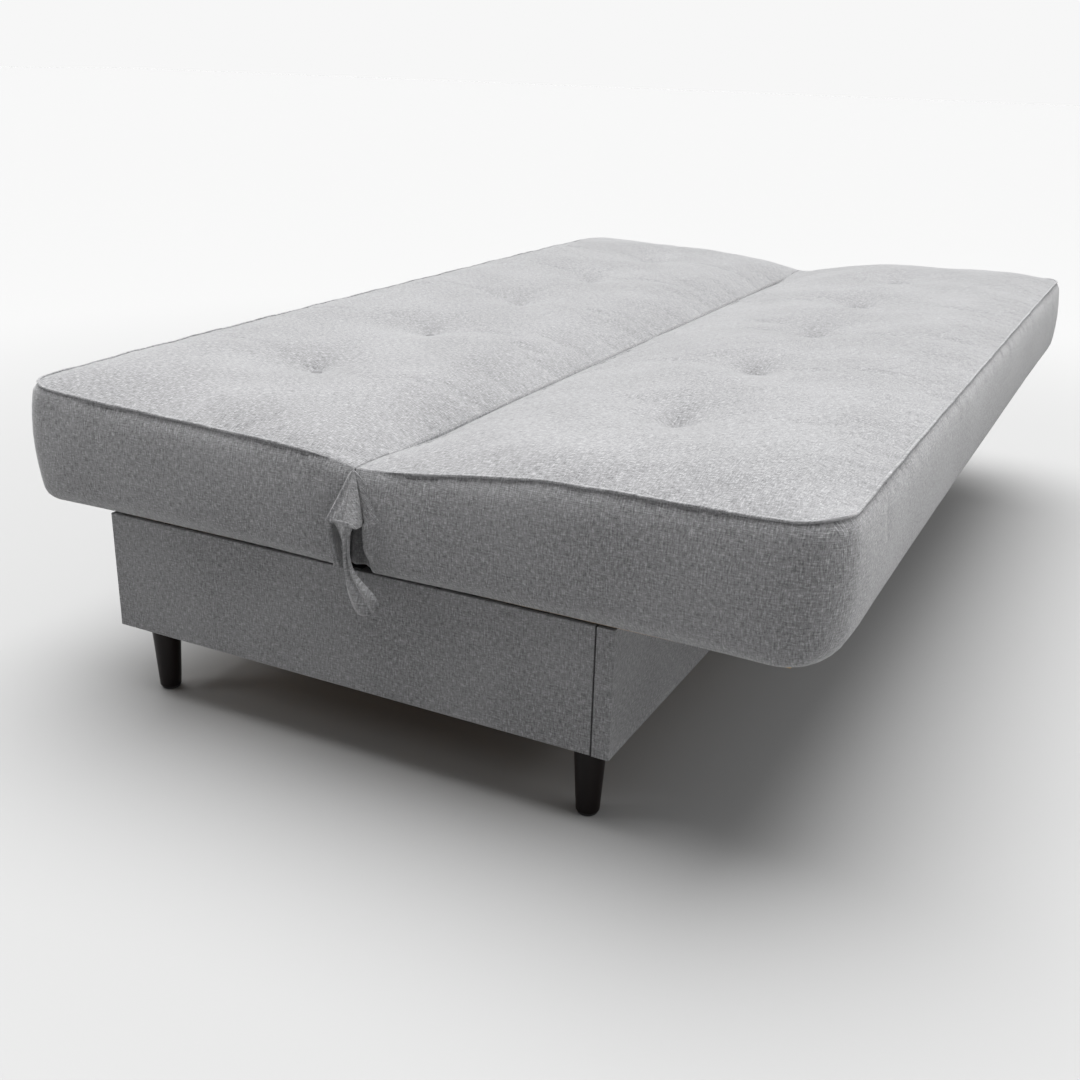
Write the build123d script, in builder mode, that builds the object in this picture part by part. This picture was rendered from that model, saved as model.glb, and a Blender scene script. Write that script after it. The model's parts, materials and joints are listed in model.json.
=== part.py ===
from build123d import *
from math import atan2, cos, degrees, radians, sin, tan
import os

os.makedirs("parts", exist_ok=True)

# A click-clack sofa bed lying flat: +X runs along the bed, -Y is the seat's front edge,
# +Z is up, and the origin lies on the floor under the middle. Lengths are millimetres.

# --- Mattress sections; depths are measured from the hinge line -------------------------
BED_LENGTH = 2000
SEAT_DEPTH = 634
BACK_DEPTH = 584
HINGE_Y = (SEAT_DEPTH - BACK_DEPTH) / 2
HINGE_Z = 411
SECTION_BOTTOM = 294
CROWN_Z = 490
VALLEY_SLOPE = 27
VALLEY_RUN = 92
COVER = 2
SEAT_NOSE = 45
BACK_NOSE = 22
SEAT_CORNER = 50
BACK_CORNER = 30
END_ROUND = 28
JUNCTION_GAP = 25

# --- Tufts and buttons -------------------------------------------------------------------
TUFT_COUNT = 5
TUFT_PITCH = 340
TUFT_DEPTH = 32
TUFT_TOP_RADIUS = 40
TUFT_LIP = 4
TUFT_FLOOR_RADIUS = 13
BUTTON_RADIUS = 9
BUTTON_HEIGHT = 5
TWINE_RADIUS = 1

# --- Section frames ------------------------------------------------------------------------
RAIL_LOW = SECTION_BOTTOM + COVER
RAIL_TOP = 357
RAIL_THICK = 25
RAIL_START = 35
RAIL_OUTER = 984
CROSS_RAIL_X = 320
SPRING_WIRE = 2
SPRING_Z = RAIL_TOP + SPRING_WIRE + 0.2
SPRING_COUNT = 11
SPRING_BENDS = 14
SPRING_SWING = 24
FOAM_LOW = 364
NOTCH_INNER = 936
NOTCH_OUTER = 970
NOTCH_DEPTH = 75

# --- Storage box ---------------------------------------------------------------------------
BOX_X = 985
BOX_FRONT = -342
BOX_REAR = 469
BOX_LOW = 112
BOX_TOP = 292
BOARD = 18
FRONT_BOARD = 20
SKIN = 2
COVER_JOINT = 2.5
INNER_X = BOX_X - SKIN - BOARD
INNER_FRONT = BOX_FRONT + FRONT_BOARD + 2 * SKIN
INNER_REAR = BOX_REAR - SKIN - BOARD
BEARER = 30
LEDGER = 20
PANEL = 3.5

# --- Legs ------------------------------------------------------------------------------------
LEG_X = 940
LEG_INSET = 45
LEG_FRONT_Y = BOX_FRONT + LEG_INSET
LEG_REAR_Y = BOX_REAR - LEG_INSET
LEG_TOP_RADIUS = 22.5
LEG_FOOT_RADIUS = 16
GLIDE_HEIGHT = 4
GLIDE_RADIUS = 14
BLOCK = 80
BOLT_RADIUS = 4
BOLT_LENGTH = 70
TEE_RADIUS = 5
TEE_FLANGE = 11

# --- Folding mechanism: layers are distances from the middle of the bed -----------------------
BASE_PLATE = (961, 965)
BOSS = (956.3, 961)
BOSS_RADIUS = 12
LINK = (951, 956)
CARRIER = (945, 950)
BACK_ARM = (951, 956)
SEAT_ARM = (957, 962)
LINK_LOW_Z = 175
LINK_HIGH_Z = 275
FRONT_LINK_Y = -130
REAR_LINK_Y = 60
LINK_LEAN = 120
LINK_WIDTH = 32
ARM_WIDTH = 26
ARM_Z = 330
ELBOW = 22
ARM_REACH = 200
ARM_BOLTS = (90, 170)
PIN = 6
MAIN_PIN = 7
GAP = 0.05
SPRING_PEG = (-220, 170)
SPRING_PEG_ON_LINK = (21.6, 207)
PEG_RADIUS = 4
PEG_INNER = 922
ASSIST_X = 928

# --- Ratchet: teeth are on the back's arm, the pawl is on the seat's arm -----------------------
TOOTH_STEP = 15
TOOTH_RADIUS = 24
FIRST_GAP = 120
LAST_GAP = 240
NOSE_RADIUS = 1.3
NOSE_SEAT = 21.5
NOSE_GAP = 0.4
PAWL_PIVOT = 46
PAWL_SHOULDER = 29.5
PAWL_WIDTH = 8
PAWL_OPEN = 8

SIDES = (("left", -1), ("right", 1))
HINGE = (HINGE_Y, HINGE_Z)
LEGS = [(side * LEG_X, y) for y in (LEG_FRONT_Y, LEG_REAR_Y) for side in (-1, 1)]


def write(part, label):
    """Name a finished piece and write its file."""
    part.label = label
    export_step(part, f"parts/{label}.step")


def layer_plane(side, layer):
    """Upright plane on a layer's inner face: its x is world Y and its y is world Z."""
    return Plane.YZ.offset(side * layer[0])


def layer_amount(side, layer):
    """Extrusion that fills the layer, outwards from its inner face."""
    return side * (layer[1] - layer[0])


def bar(start, end, width):
    """Flat bar with round ends between two points of the current sketch."""
    run = Vector(end[0] - start[0], end[1] - start[1])
    middle = ((start[0] + end[0]) / 2, (start[1] + end[1]) / 2)
    with Locations(middle):
        SlotCenterToCenter(run.length, width, rotation=degrees(atan2(run.Y, run.X)))


def rod(side, place, radius, inner, outer, mode=Mode.ADD):
    """Round bar along the bed, added to or cut from the part being built."""
    with BuildSketch(Plane.YZ.offset(side * inner)) as face:
        with Locations(place):
            Circle(radius)
    extrude(face.sketch, amount=side * (outer - inner), mode=mode)


def span_box(x, y, z, mode=Mode.ADD):
    """Box between low and high values on each axis."""
    with Locations(((x[0] + x[1]) / 2, (y[0] + y[1]) / 2, (z[0] + z[1]) / 2)):
        Box(x[1] - x[0], y[1] - y[0], z[1] - z[0], mode=mode)


def ordered(side, near, far):
    """The two values on one side of the middle, lowest first."""
    return sorted((side * near, side * far))


# === Storage box ================================================================================

BOARD_Z = (BOX_LOW + SKIN, BOX_TOP - SKIN)
FRONT_Y = (BOX_FRONT + SKIN, BOX_FRONT + SKIN + FRONT_BOARD)
PLATE_BOLTS = [(y, z) for y in (-205, -30, 85) for z in (200, 268)]

with BuildPart() as front_board:
    span_box((SKIN - BOX_X, BOX_X - SKIN), FRONT_Y, BOARD_Z)
write(front_board.part, "front_board")

with BuildPart() as front_board_cover:
    span_box((-BOX_X, BOX_X), (BOX_FRONT, INNER_FRONT), (BOX_LOW, BOX_TOP))
    fillet(front_board_cover.edges().filter_by(Axis.Z).group_by(Axis.Y)[0], 1.8)
    span_box((SKIN - BOX_X, BOX_X - SKIN), FRONT_Y, BOARD_Z, Mode.SUBTRACT)
    span_box((15 - INNER_X, INNER_X - 15), (FRONT_Y[1], INNER_FRONT), (134, 270), Mode.SUBTRACT)
write(front_board_cover.part, "front_board_cover")

with BuildPart() as rear_board:
    span_box((-INNER_X, INNER_X), (INNER_REAR, INNER_REAR + BOARD), BOARD_Z)
write(rear_board.part, "rear_board")

with BuildPart() as rear_cover:
    span_box((-INNER_X, INNER_X), (BOX_REAR - SKIN, BOX_REAR), BOARD_Z)
write(rear_cover.part, "rear_cover")

for side_name, side in SIDES:
    with BuildPart() as end_board:
        span_box(ordered(side, INNER_X, BOX_X - SKIN), (INNER_FRONT, BOX_REAR - SKIN), BOARD_Z)
        for place in PLATE_BOLTS:
            rod(side, place, 3, INNER_X, INNER_X + 14, Mode.SUBTRACT)
    write(end_board.part, f"end_board_{side_name}")

    with BuildPart() as end_cover:
        span_box(ordered(side, INNER_X, BOX_X), (INNER_FRONT + COVER_JOINT, BOX_REAR), (BOX_LOW, BOX_TOP))
        fillet(end_cover.edges().filter_by(Axis.Y).group_by(Axis.X)[0 if side < 0 else -1], 1.8)
        span_box(
            ordered(side, INNER_X - 1, BOX_X - SKIN),
            (INNER_FRONT, BOX_REAR - SKIN),
            BOARD_Z,
            Mode.SUBTRACT,
        )
    write(end_cover.part, f"end_cover_{side_name}")

BEARER_Z = (BOX_LOW, BOX_LOW + BEARER)

with BuildPart() as floor_bearers:
    for low in (INNER_FRONT, INNER_REAR - LEDGER):
        span_box((BLOCK - INNER_X, INNER_X - BLOCK), (low, low + LEDGER), BEARER_Z)
    for x in (-480, 0, 480):
        span_box((x - 15, x + 15), (INNER_FRONT + LEDGER, INNER_REAR - LEDGER), BEARER_Z)
    for side_name, side in SIDES:
        span_box(
            ordered(side, INNER_X - LEDGER, INNER_X),
            (INNER_FRONT + BLOCK, INNER_REAR - BLOCK),
            BEARER_Z,
        )
write(floor_bearers.part, "floor_bearers")

with BuildPart() as corner_blocks:
    for side_name, side in SIDES:
        for low in (INNER_FRONT, INNER_REAR - BLOCK):
            span_box(ordered(side, INNER_X - BLOCK, INNER_X), (low, low + BLOCK), BEARER_Z)
    with BuildSketch(Plane.XY.offset(BOX_LOW)):
        with Locations(LEGS):
            Circle(TEE_RADIUS)
    extrude(amount=BEARER, mode=Mode.SUBTRACT)
write(corner_blocks.part, "corner_blocks")

with BuildPart() as floor_panel:
    span_box(
        (1 - INNER_X, INNER_X - 1),
        (INNER_FRONT + 1, INNER_REAR - 1),
        (BOX_LOW + BEARER, BOX_LOW + BEARER + PANEL),
    )
    with BuildSketch(Plane.XY.offset(BOX_LOW + BEARER)):
        with Locations(LEGS):
            Circle(TEE_FLANGE + 1)
    extrude(amount=PANEL, mode=Mode.SUBTRACT)
write(floor_panel.part, "floor_panel")

with BuildPart() as rest_pads:
    for side_name, side in SIDES:
        for y in (-220, 60, 340):
            span_box(ordered(side, 968, 980), (y - 30, y + 30), (BOX_TOP, BOX_TOP + 1.7))
    for x in (-500, 500):
        for y in (BOX_FRONT + 12, BOX_REAR - 11):
            span_box((x - 30, x + 30), (y - 6, y + 6), (BOX_TOP - SKIN, BOX_TOP + 1.7))
    span_box((-BOX_X, BOX_X), (BOX_FRONT, INNER_FRONT), (BOX_TOP - SKIN, BOX_TOP), Mode.SUBTRACT)
write(rest_pads.part, "rest_pads")

# === Legs ========================================================================================

LEG_NAMES = ("leg_front_left", "leg_front_right", "leg_rear_left", "leg_rear_right")

for name, place in zip(LEG_NAMES, LEGS):
    with BuildPart() as leg:
        with BuildSketch(Plane.XY.offset(GLIDE_HEIGHT)):
            with Locations(place):
                Circle(LEG_FOOT_RADIUS)
        with BuildSketch(Plane.XY.offset(BOX_LOW)):
            with Locations(place):
                Circle(LEG_TOP_RADIUS)
        loft()
        fillet(leg.edges().group_by(Axis.Z)[0], 1.5)
        with BuildSketch(Plane.XY.offset(BOX_LOW)):
            with Locations(place):
                Circle(BOLT_RADIUS)
        extrude(amount=BEARER - BOLT_LENGTH, mode=Mode.SUBTRACT)
    write(leg.part, name)

with BuildPart() as leg_bolts:
    with BuildSketch(Plane.XY.offset(BOX_LOW + BEARER)):
        with Locations(LEGS):
            Circle(BOLT_RADIUS)
    extrude(amount=-BOLT_LENGTH)
write(leg_bolts.part, "leg_bolts")

with BuildPart() as tee_nuts:
    with BuildSketch(Plane.XY.offset(BOX_LOW + BEARER - 20)):
        with Locations(LEGS):
            Circle(TEE_RADIUS)
            Circle(BOLT_RADIUS, mode=Mode.SUBTRACT)
    extrude(amount=20)
    with BuildSketch(Plane.XY.offset(BOX_LOW + BEARER)):
        with Locations(LEGS):
            Circle(TEE_FLANGE)
            Circle(BOLT_RADIUS, mode=Mode.SUBTRACT)
    extrude(amount=2)
write(tee_nuts.part, "tee_nuts")

with BuildPart() as leg_glides:
    with BuildSketch():
        with Locations(LEGS):
            Circle(GLIDE_RADIUS)
    extrude(amount=GLIDE_HEIGHT)
    chamfer(leg_glides.edges().group_by(Axis.Z)[0], 1)
write(leg_glides.part, "leg_glides")

# === Swing mechanism in the box ====================================================================

LOW_PINS = [(FRONT_LINK_Y, LINK_LOW_Z), (REAR_LINK_Y, LINK_LOW_Z)]
HIGH_PINS = [(y - LINK_LEAN, LINK_HIGH_Z) for y in (FRONT_LINK_Y, REAR_LINK_Y)]

for side_name, side in SIDES:
    with BuildPart() as base_plate:
        with BuildSketch(layer_plane(side, BASE_PLATE)):
            with Locations((-67.5, 217.5)):
                RectangleRounded(345, 135, 12)
        extrude(amount=layer_amount(side, BASE_PLATE))
        for place in LOW_PINS:
            rod(side, place, BOSS_RADIUS, *BOSS)
        rod(side, SPRING_PEG, PEG_RADIUS, PEG_INNER, BASE_PLATE[0])
        for place in LOW_PINS:
            rod(side, place, PIN, BOSS[0], BASE_PLATE[1], Mode.SUBTRACT)
        for place in PLATE_BOLTS:
            rod(side, place, 6, BASE_PLATE[0], BASE_PLATE[0] + 2, Mode.SUBTRACT)
            rod(side, place, 3, *BASE_PLATE, Mode.SUBTRACT)
    write(base_plate.part, f"base_plate_{side_name}")

    for name, low, high in zip(("front", "rear"), LOW_PINS, HIGH_PINS):
        with BuildPart() as link:
            with BuildSketch(layer_plane(side, LINK)):
                bar(low, high, LINK_WIDTH)
            extrude(amount=layer_amount(side, LINK))
            if name == "rear":
                rod(side, SPRING_PEG_ON_LINK, PEG_RADIUS, PEG_INNER, LINK[0])
            for place in (low, high):
                rod(side, place, PIN + GAP, *LINK, Mode.SUBTRACT)
        write(link.part, f"{name}_link_{side_name}")

    with BuildPart() as carrier:
        with BuildSketch(layer_plane(side, CARRIER)):
            bar((HIGH_PINS[0][0] - 8, LINK_HIGH_Z), (HINGE_Y, LINK_HIGH_Z), 28)
            bar((HINGE_Y, LINK_HIGH_Z), HINGE, 28)
        extrude(amount=layer_amount(side, CARRIER))
        for place in HIGH_PINS:
            rod(side, place, PIN, *CARRIER, Mode.SUBTRACT)
        rod(side, HINGE, MAIN_PIN, *CARRIER, Mode.SUBTRACT)
    write(carrier.part, f"carrier_{side_name}")

with BuildPart() as base_plate_bolts:
    for side_name, side in SIDES:
        for place in PLATE_BOLTS:
            rod(side, place, 6, BASE_PLATE[0], BASE_PLATE[0] + 2)
            rod(side, place, 3, BASE_PLATE[0] + 2, INNER_X + 14)
write(base_plate_bolts.part, "base_plate_bolts")

with BuildPart() as lower_link_pins:
    for side_name, side in SIDES:
        for place in LOW_PINS:
            rod(side, place, 9, LINK[0] - 4, LINK[0] - GAP)
            rod(side, place, PIN, LINK[0] - GAP, BASE_PLATE[1])
write(lower_link_pins.part, "lower_link_pins")

with BuildPart() as upper_link_pins:
    for side_name, side in SIDES:
        for place in HIGH_PINS:
            rod(side, place, 9, CARRIER[0] - 2, CARRIER[0])
            rod(side, place, PIN, CARRIER[0], LINK[1] + GAP)
            rod(side, place, 9, LINK[1] + GAP, LINK[1] + 3)
write(upper_link_pins.part, "upper_link_pins")

with BuildPart() as main_pivot_pins:
    for side_name, side in SIDES:
        rod(side, HINGE, 11, CARRIER[0] - 4, CARRIER[0])
        rod(side, HINGE, MAIN_PIN, CARRIER[0], SEAT_ARM[1] + GAP)
        rod(side, HINGE, 11, SEAT_ARM[1] + GAP, SEAT_ARM[1] + 4)
write(main_pivot_pins.part, "main_pivot_pins")

# Assist springs: hollow tubes over their coils' outline, with an eye on each peg
for side_name, side in SIDES:
    start = Vector(side * ASSIST_X, *SPRING_PEG)
    end = Vector(side * ASSIST_X, *SPRING_PEG_ON_LINK)
    along = (end - start).normalized()
    coil_start = start + along * 18
    coil_length = (end - start).length - 36
    with BuildPart() as assist_spring:
        with BuildSketch(Plane(coil_start, x_dir=(1, 0, 0), z_dir=along)):
            Circle(7)
        extrude(amount=coil_length)
        with BuildSketch(Plane(coil_start + along * 2, x_dir=(1, 0, 0), z_dir=along)):
            Circle(5)
        extrude(amount=coil_length - 4, mode=Mode.SUBTRACT)
        with BuildSketch(Plane.YZ.offset(side * ASSIST_X)):
            for peg, tip in ((start, coil_start), (end, coil_start + along * coil_length)):
                bar((peg.Y, peg.Z), (tip.Y, tip.Z), 2.4)
            with Locations(SPRING_PEG, SPRING_PEG_ON_LINK):
                Circle(PEG_RADIUS + 2.4)
                Circle(PEG_RADIUS + GAP, mode=Mode.SUBTRACT)
        extrude(amount=1.2, both=True)
    write(assist_spring.part, f"assist_spring_{side_name}")

# === Arms, toothed discs and pawls ==================================================================


def on_disc(radius, angle):
    """Point at a radius and angle round the hinge pin."""
    return (HINGE_Y + radius * cos(radians(angle)), HINGE_Z + radius * sin(radians(angle)))


def turned(point, centre, angle):
    """The point turned round a centre."""
    y, z = point[0] - centre[0], point[1] - centre[1]
    c, s = cos(radians(angle)), sin(radians(angle))
    return (centre[0] + c * y - s * z, centre[1] + s * y + c * z)


PAWL_CENTRE = on_disc(PAWL_PIVOT, 180)

for side_name, side in SIDES:
    with BuildPart() as back_hinge_arm:
        with BuildSketch(layer_plane(side, BACK_ARM)):
            bar(HINGE, (HINGE_Y + ELBOW, ARM_Z), ARM_WIDTH)
            bar((HINGE_Y + ELBOW, ARM_Z), (HINGE_Y + ARM_REACH, ARM_Z), ARM_WIDTH)
            with BuildLine():
                rim_start = on_disc(TOOTH_RADIUS, FIRST_GAP - 6)
                rim_end = on_disc(TOOTH_RADIUS, LAST_GAP + 6)
                Line(HINGE, rim_start)
                ThreePointArc(rim_start, on_disc(TOOTH_RADIUS, 180), rim_end)
                Line(rim_end, HINGE)
            make_face()
            with Locations(HINGE):
                Circle(MAIN_PIN + 7)
        extrude(amount=layer_amount(side, BACK_ARM))
        with BuildSketch(layer_plane(side, BACK_ARM)):
            for angle in range(FIRST_GAP, LAST_GAP + 1, TOOTH_STEP):
                width = 2 * (NOSE_RADIUS + NOSE_GAP)
                bar(on_disc(NOSE_SEAT, angle), on_disc(TOOTH_RADIUS + 4, angle), width)
            with Locations(HINGE):
                Circle(MAIN_PIN + GAP)
        extrude(amount=layer_amount(side, BACK_ARM), mode=Mode.SUBTRACT)
        for d in ARM_BOLTS:
            rod(side, (HINGE_Y + d, ARM_Z), BOLT_RADIUS, *BACK_ARM, Mode.SUBTRACT)
    write(back_hinge_arm.part, f"back_hinge_arm_{side_name}")

    with BuildPart() as seat_hinge_arm:
        with BuildSketch(layer_plane(side, SEAT_ARM)):
            bar(HINGE, (HINGE_Y - ELBOW, ARM_Z), ARM_WIDTH)
            bar((HINGE_Y - ELBOW, ARM_Z), (HINGE_Y - ARM_REACH, ARM_Z), ARM_WIDTH)
            bar(HINGE, PAWL_CENTRE, 18)
            with Locations(HINGE):
                Circle(MAIN_PIN + 7)
        extrude(amount=layer_amount(side, SEAT_ARM))
        rod(side, HINGE, MAIN_PIN + GAP, *SEAT_ARM, Mode.SUBTRACT)
        rod(side, PAWL_CENTRE, BOLT_RADIUS, BACK_ARM[0] - 0.5, SEAT_ARM[0])
        for d in ARM_BOLTS:
            rod(side, (HINGE_Y - d, ARM_Z), BOLT_RADIUS, *SEAT_ARM, Mode.SUBTRACT)
    write(seat_hinge_arm.part, f"seat_hinge_arm_{side_name}")

    with BuildPart() as pawl:
        shoulder = turned(on_disc(PAWL_SHOULDER, LAST_GAP), PAWL_CENTRE, -PAWL_OPEN)
        nose = turned(on_disc(NOSE_SEAT, LAST_GAP), PAWL_CENTRE, -PAWL_OPEN)
        with BuildSketch(layer_plane(side, BACK_ARM)):
            bar(PAWL_CENTRE, shoulder, PAWL_WIDTH)
            bar(shoulder, nose, 2 * NOSE_RADIUS)
            with Locations(PAWL_CENTRE):
                Circle(8)
                Circle(BOLT_RADIUS + GAP, mode=Mode.SUBTRACT)
        extrude(amount=layer_amount(side, BACK_ARM))
    write(pawl.part, f"pawl_{side_name}")

# === Gussets: folded flaps of cloth that hang at the two ends of the junction ========================

for side_name, side in SIDES:
    with BuildPart() as gusset:
        with BuildSketch(Plane.XZ.offset(-HINGE_Y)) as flap:
            with BuildLine():
                Polyline(
                    (side * 1001, 430),
                    (side * 1016, 400),
                    (side * 1038, 310),
                    (side * 1044, 265),
                    (side * 1030, 247),
                    (side * 1010, 262),
                    (side * 1001, 320),
                    close=True,
                )
            make_face()
            fillet(flap.vertices().group_by(Axis.Y)[0], 4)
        extrude(amount=6, both=True)
    write(gusset.part, f"gusset_{side_name}")

# === Mattress sections ================================================================================


def section_solid(way, depth, nose, corner, inset):
    """A section's closed form, shrunk by the inset, with its tuft hollows.

    Its end outline is a valley slope, a long crown, an upright front face and a round nose."""
    slope = tan(radians(VALLEY_SLOPE))
    drop = inset / cos(radians(VALLEY_SLOPE))
    front = depth - inset
    bottom = SECTION_BOTTOM + inset
    diagonal = inset + (nose - inset) * (1 - cos(radians(45)))

    def at(d, z):
        return (HINGE_Y + way * d, z)

    foot = at(2 + inset, HINGE_Z + slope * inset - drop)
    rise = at(VALLEY_RUN, HINGE_Z + slope * (VALLEY_RUN - 2) - drop)
    crown_near, crown_far = (at(d, CROWN_Z - 1 - inset) for d in (250, depth - 170))
    shoulder = at(front - 16, 475 - inset)
    nose_mid = at(depth - diagonal, SECTION_BOTTOM + diagonal)
    with BuildPart() as solid:
        with BuildSketch(Plane.YZ):
            with BuildLine():
                Line(foot, rise)
                Spline(rise, crown_near, crown_far, shoulder, tangents=((way, slope), (way, -0.45)))
                Polyline(shoulder, at(front, 458), at(front, SECTION_BOTTOM + nose))
                ThreePointArc(at(front, SECTION_BOTTOM + nose), nose_mid, at(depth - nose, bottom))
                Polyline(
                    at(depth - nose, bottom),
                    at(JUNCTION_GAP + inset, bottom),
                    at(2 + inset, HINGE_Z - 18),
                    foot,
                )
            make_face()
        extrude(amount=BED_LENGTH / 2 - inset, both=True)
        with BuildSketch(Plane.XY.offset(SECTION_BOTTOM - 10)) as plan:
            with Locations((0, HINGE_Y + way * (depth - inset) / 2)):
                Rectangle(BED_LENGTH - 2 * inset, depth - inset)
            outer = plan.vertices().sort_by(Axis.Y)
            fillet(outer[:2] if way < 0 else outer[-2:], corner - inset)
        extrude(amount=300, mode=Mode.INTERSECT)
        with BuildSketch(Plane.XZ) as front:
            with Locations((0, 290 + (CROWN_Z + 1 - inset - 290) / 2)):
                Rectangle(BED_LENGTH - 2 * inset, CROWN_Z + 1 - inset - 290)
            fillet(front.vertices().group_by(Axis.Y)[-1], END_ROUND - inset)
        extrude(amount=800, both=True, mode=Mode.INTERSECT)
        with tuft_places(way, depth, CROWN_Z - TUFT_DEPTH - inset):
            Cone(
                TUFT_FLOOR_RADIUS + inset,
                TUFT_TOP_RADIUS + 2 * inset,
                TUFT_DEPTH + TUFT_LIP + inset,
                align=(Align.CENTER, Align.CENTER, Align.MIN),
                mode=Mode.SUBTRACT,
            )
    return solid.part


def tuft_places(way, depth, z=0):
    """The row of tufts along the middle of a section."""
    row = range(-(TUFT_COUNT // 2), TUFT_COUNT // 2 + 1)
    return Locations([(TUFT_PITCH * i, HINGE_Y + way * depth / 2, z) for i in row])


def depth_span(way, near, far):
    """World Y of two depths, lowest first."""
    return sorted((HINGE_Y + way * near, HINGE_Y + way * far))


SECTIONS = (
    ("seat", -1, SEAT_DEPTH, SEAT_NOSE, SEAT_CORNER, SEAT_NOSE + 5, SEAT_ARM),
    ("back", 1, BACK_DEPTH, BACK_NOSE, BACK_CORNER, BACK_NOSE + 5, BACK_ARM),
)

for name, way, depth, nose, corner, frame_inset, arm in SECTIONS:
    frame_end = depth - frame_inset
    rail_z = (RAIL_LOW, RAIL_TOP)

    with BuildPart() as end_rails:
        for side_name, side in SIDES:
            span_box(ordered(side, arm[1], RAIL_OUTER), depth_span(way, RAIL_START, frame_end), rail_z)
            for d in ARM_BOLTS:
                place = (HINGE_Y + way * d, ARM_Z)
                rod(side, place, BOLT_RADIUS, arm[1], arm[1] + 18, Mode.SUBTRACT)
    write(end_rails.part, f"{name}_end_rails")

    with BuildPart() as long_rails:
        for near in (RAIL_START, frame_end - RAIL_THICK):
            span_box((-arm[1], arm[1]), depth_span(way, near, near + RAIL_THICK), rail_z)
        for side_name, side in SIDES:
            span_box(
                ordered(side, NOTCH_INNER + 8, arm[1]),
                depth_span(way, RAIL_START, RAIL_START + RAIL_THICK),
                (RAIL_LOW, RAIL_TOP - 11),
                Mode.SUBTRACT,
            )
    write(long_rails.part, f"{name}_long_rails")

    with BuildPart() as cross_rails:
        for x in (-CROSS_RAIL_X, CROSS_RAIL_X):
            span_box(
                (x - 11, x + 11),
                depth_span(way, RAIL_START + RAIL_THICK, frame_end - RAIL_THICK),
                (RAIL_LOW, RAIL_TOP - 17),
            )
    write(cross_rails.part, f"{name}_cross_rails")

    # One zigzag wire spring, then a row of copies
    first = RAIL_START + RAIL_THICK / 2
    step = (frame_end - RAIL_THICK / 2 - first) / SPRING_BENDS
    with BuildPart() as wire:
        with BuildLine() as path:
            turns = [(0, HINGE_Y + way * first, SPRING_Z)]
            for i in range(SPRING_BENDS):
                swing = SPRING_SWING if i % 2 else -SPRING_SWING
                turns.append((swing, HINGE_Y + way * (first + step * (i + 0.5)), SPRING_Z))
            turns.append((0, HINGE_Y + way * (first + step * SPRING_BENDS), SPRING_Z))
            FilletPolyline(*turns, radius=9)
        with BuildSketch(Plane(path.line @ 0, z_dir=path.line % 0)):
            Circle(SPRING_WIRE)
        sweep()
    with BuildPart() as springs:
        with GridLocations(TUFT_PITCH / 2, 1, SPRING_COUNT, 1):
            add(wire.part)
    write(springs.part, f"{name}_springs")

    outer = section_solid(way, depth, nose, corner, 0)
    inner = section_solid(way, depth, nose, corner, COVER)
    notch_y = depth_span(way, -10, NOTCH_DEPTH)
    notch_z = (SECTION_BOTTOM - 5, CROWN_Z + 5)
    window_y = depth_span(way, RAIL_START + 10, frame_end - 10)

    with BuildPart() as cover:
        add(outer)
        add(inner, mode=Mode.SUBTRACT)
        span_box((-972, 972), window_y, (SECTION_BOTTOM, RAIL_LOW), Mode.SUBTRACT)
        for side_name, side in SIDES:
            span_box(ordered(side, NOTCH_INNER, NOTCH_OUTER), notch_y, notch_z, Mode.SUBTRACT)
        with BuildSketch(Plane.XY.offset(FOAM_LOW)):
            with tuft_places(way, depth):
                Circle(TWINE_RADIUS + 0.3)
        extrude(amount=200, mode=Mode.SUBTRACT)
    write(cover.part, f"{name}_cover")

    with BuildPart() as foam:
        add(inner)
        span_box(
            (-RAIL_OUTER - 0.5, RAIL_OUTER + 0.5),
            depth_span(way, RAIL_START - 0.5, frame_end + 0.5),
            (SECTION_BOTTOM, FOAM_LOW),
            Mode.SUBTRACT,
        )
        for side_name, side in SIDES:
            span_box(ordered(side, NOTCH_INNER, NOTCH_OUTER), notch_y, notch_z, Mode.SUBTRACT)
        with BuildSketch(Plane.XY.offset(FOAM_LOW)):
            with tuft_places(way, depth):
                Circle(TWINE_RADIUS + 0.3)
        extrude(amount=200, mode=Mode.SUBTRACT)
    write(foam.part, f"{name}_foam")

    with BuildPart() as base_cloth:
        span_box((-972, 972), window_y, (SECTION_BOTTOM + 1, RAIL_LOW))
        for side_name, side in SIDES:
            span_box(ordered(side, NOTCH_INNER, NOTCH_OUTER), notch_y, notch_z, Mode.SUBTRACT)
    write(base_cloth.part, f"{name}_base_cloth")

    with BuildPart() as buttons:
        with BuildSketch(Plane.XY.offset(CROWN_Z - TUFT_DEPTH)):
            with tuft_places(way, depth):
                Circle(BUTTON_RADIUS)
        extrude(amount=BUTTON_HEIGHT)
        fillet(buttons.edges().group_by(Axis.Z)[-1], 3)
        with BuildSketch(Plane.XY.offset(SPRING_Z + SPRING_WIRE + 0.2)):
            with tuft_places(way, depth):
                Circle(TWINE_RADIUS)
        extrude(until=Until.NEXT)
    write(buttons.part, f"{name}_buttons")

    with BuildPart() as arm_bolts:
        for side_name, side in SIDES:
            for d in ARM_BOLTS:
                place = (HINGE_Y + way * d, ARM_Z)
                rod(side, place, 7, arm[0] - 4, arm[0])
                rod(side, place, BOLT_RADIUS, arm[0], arm[1] + 18)
    write(arm_bolts.part, f"{name}_arm_bolts")
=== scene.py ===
"""A tufted, sprung sofa bed lying flat over its bedding box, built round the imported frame."""
import json

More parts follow.
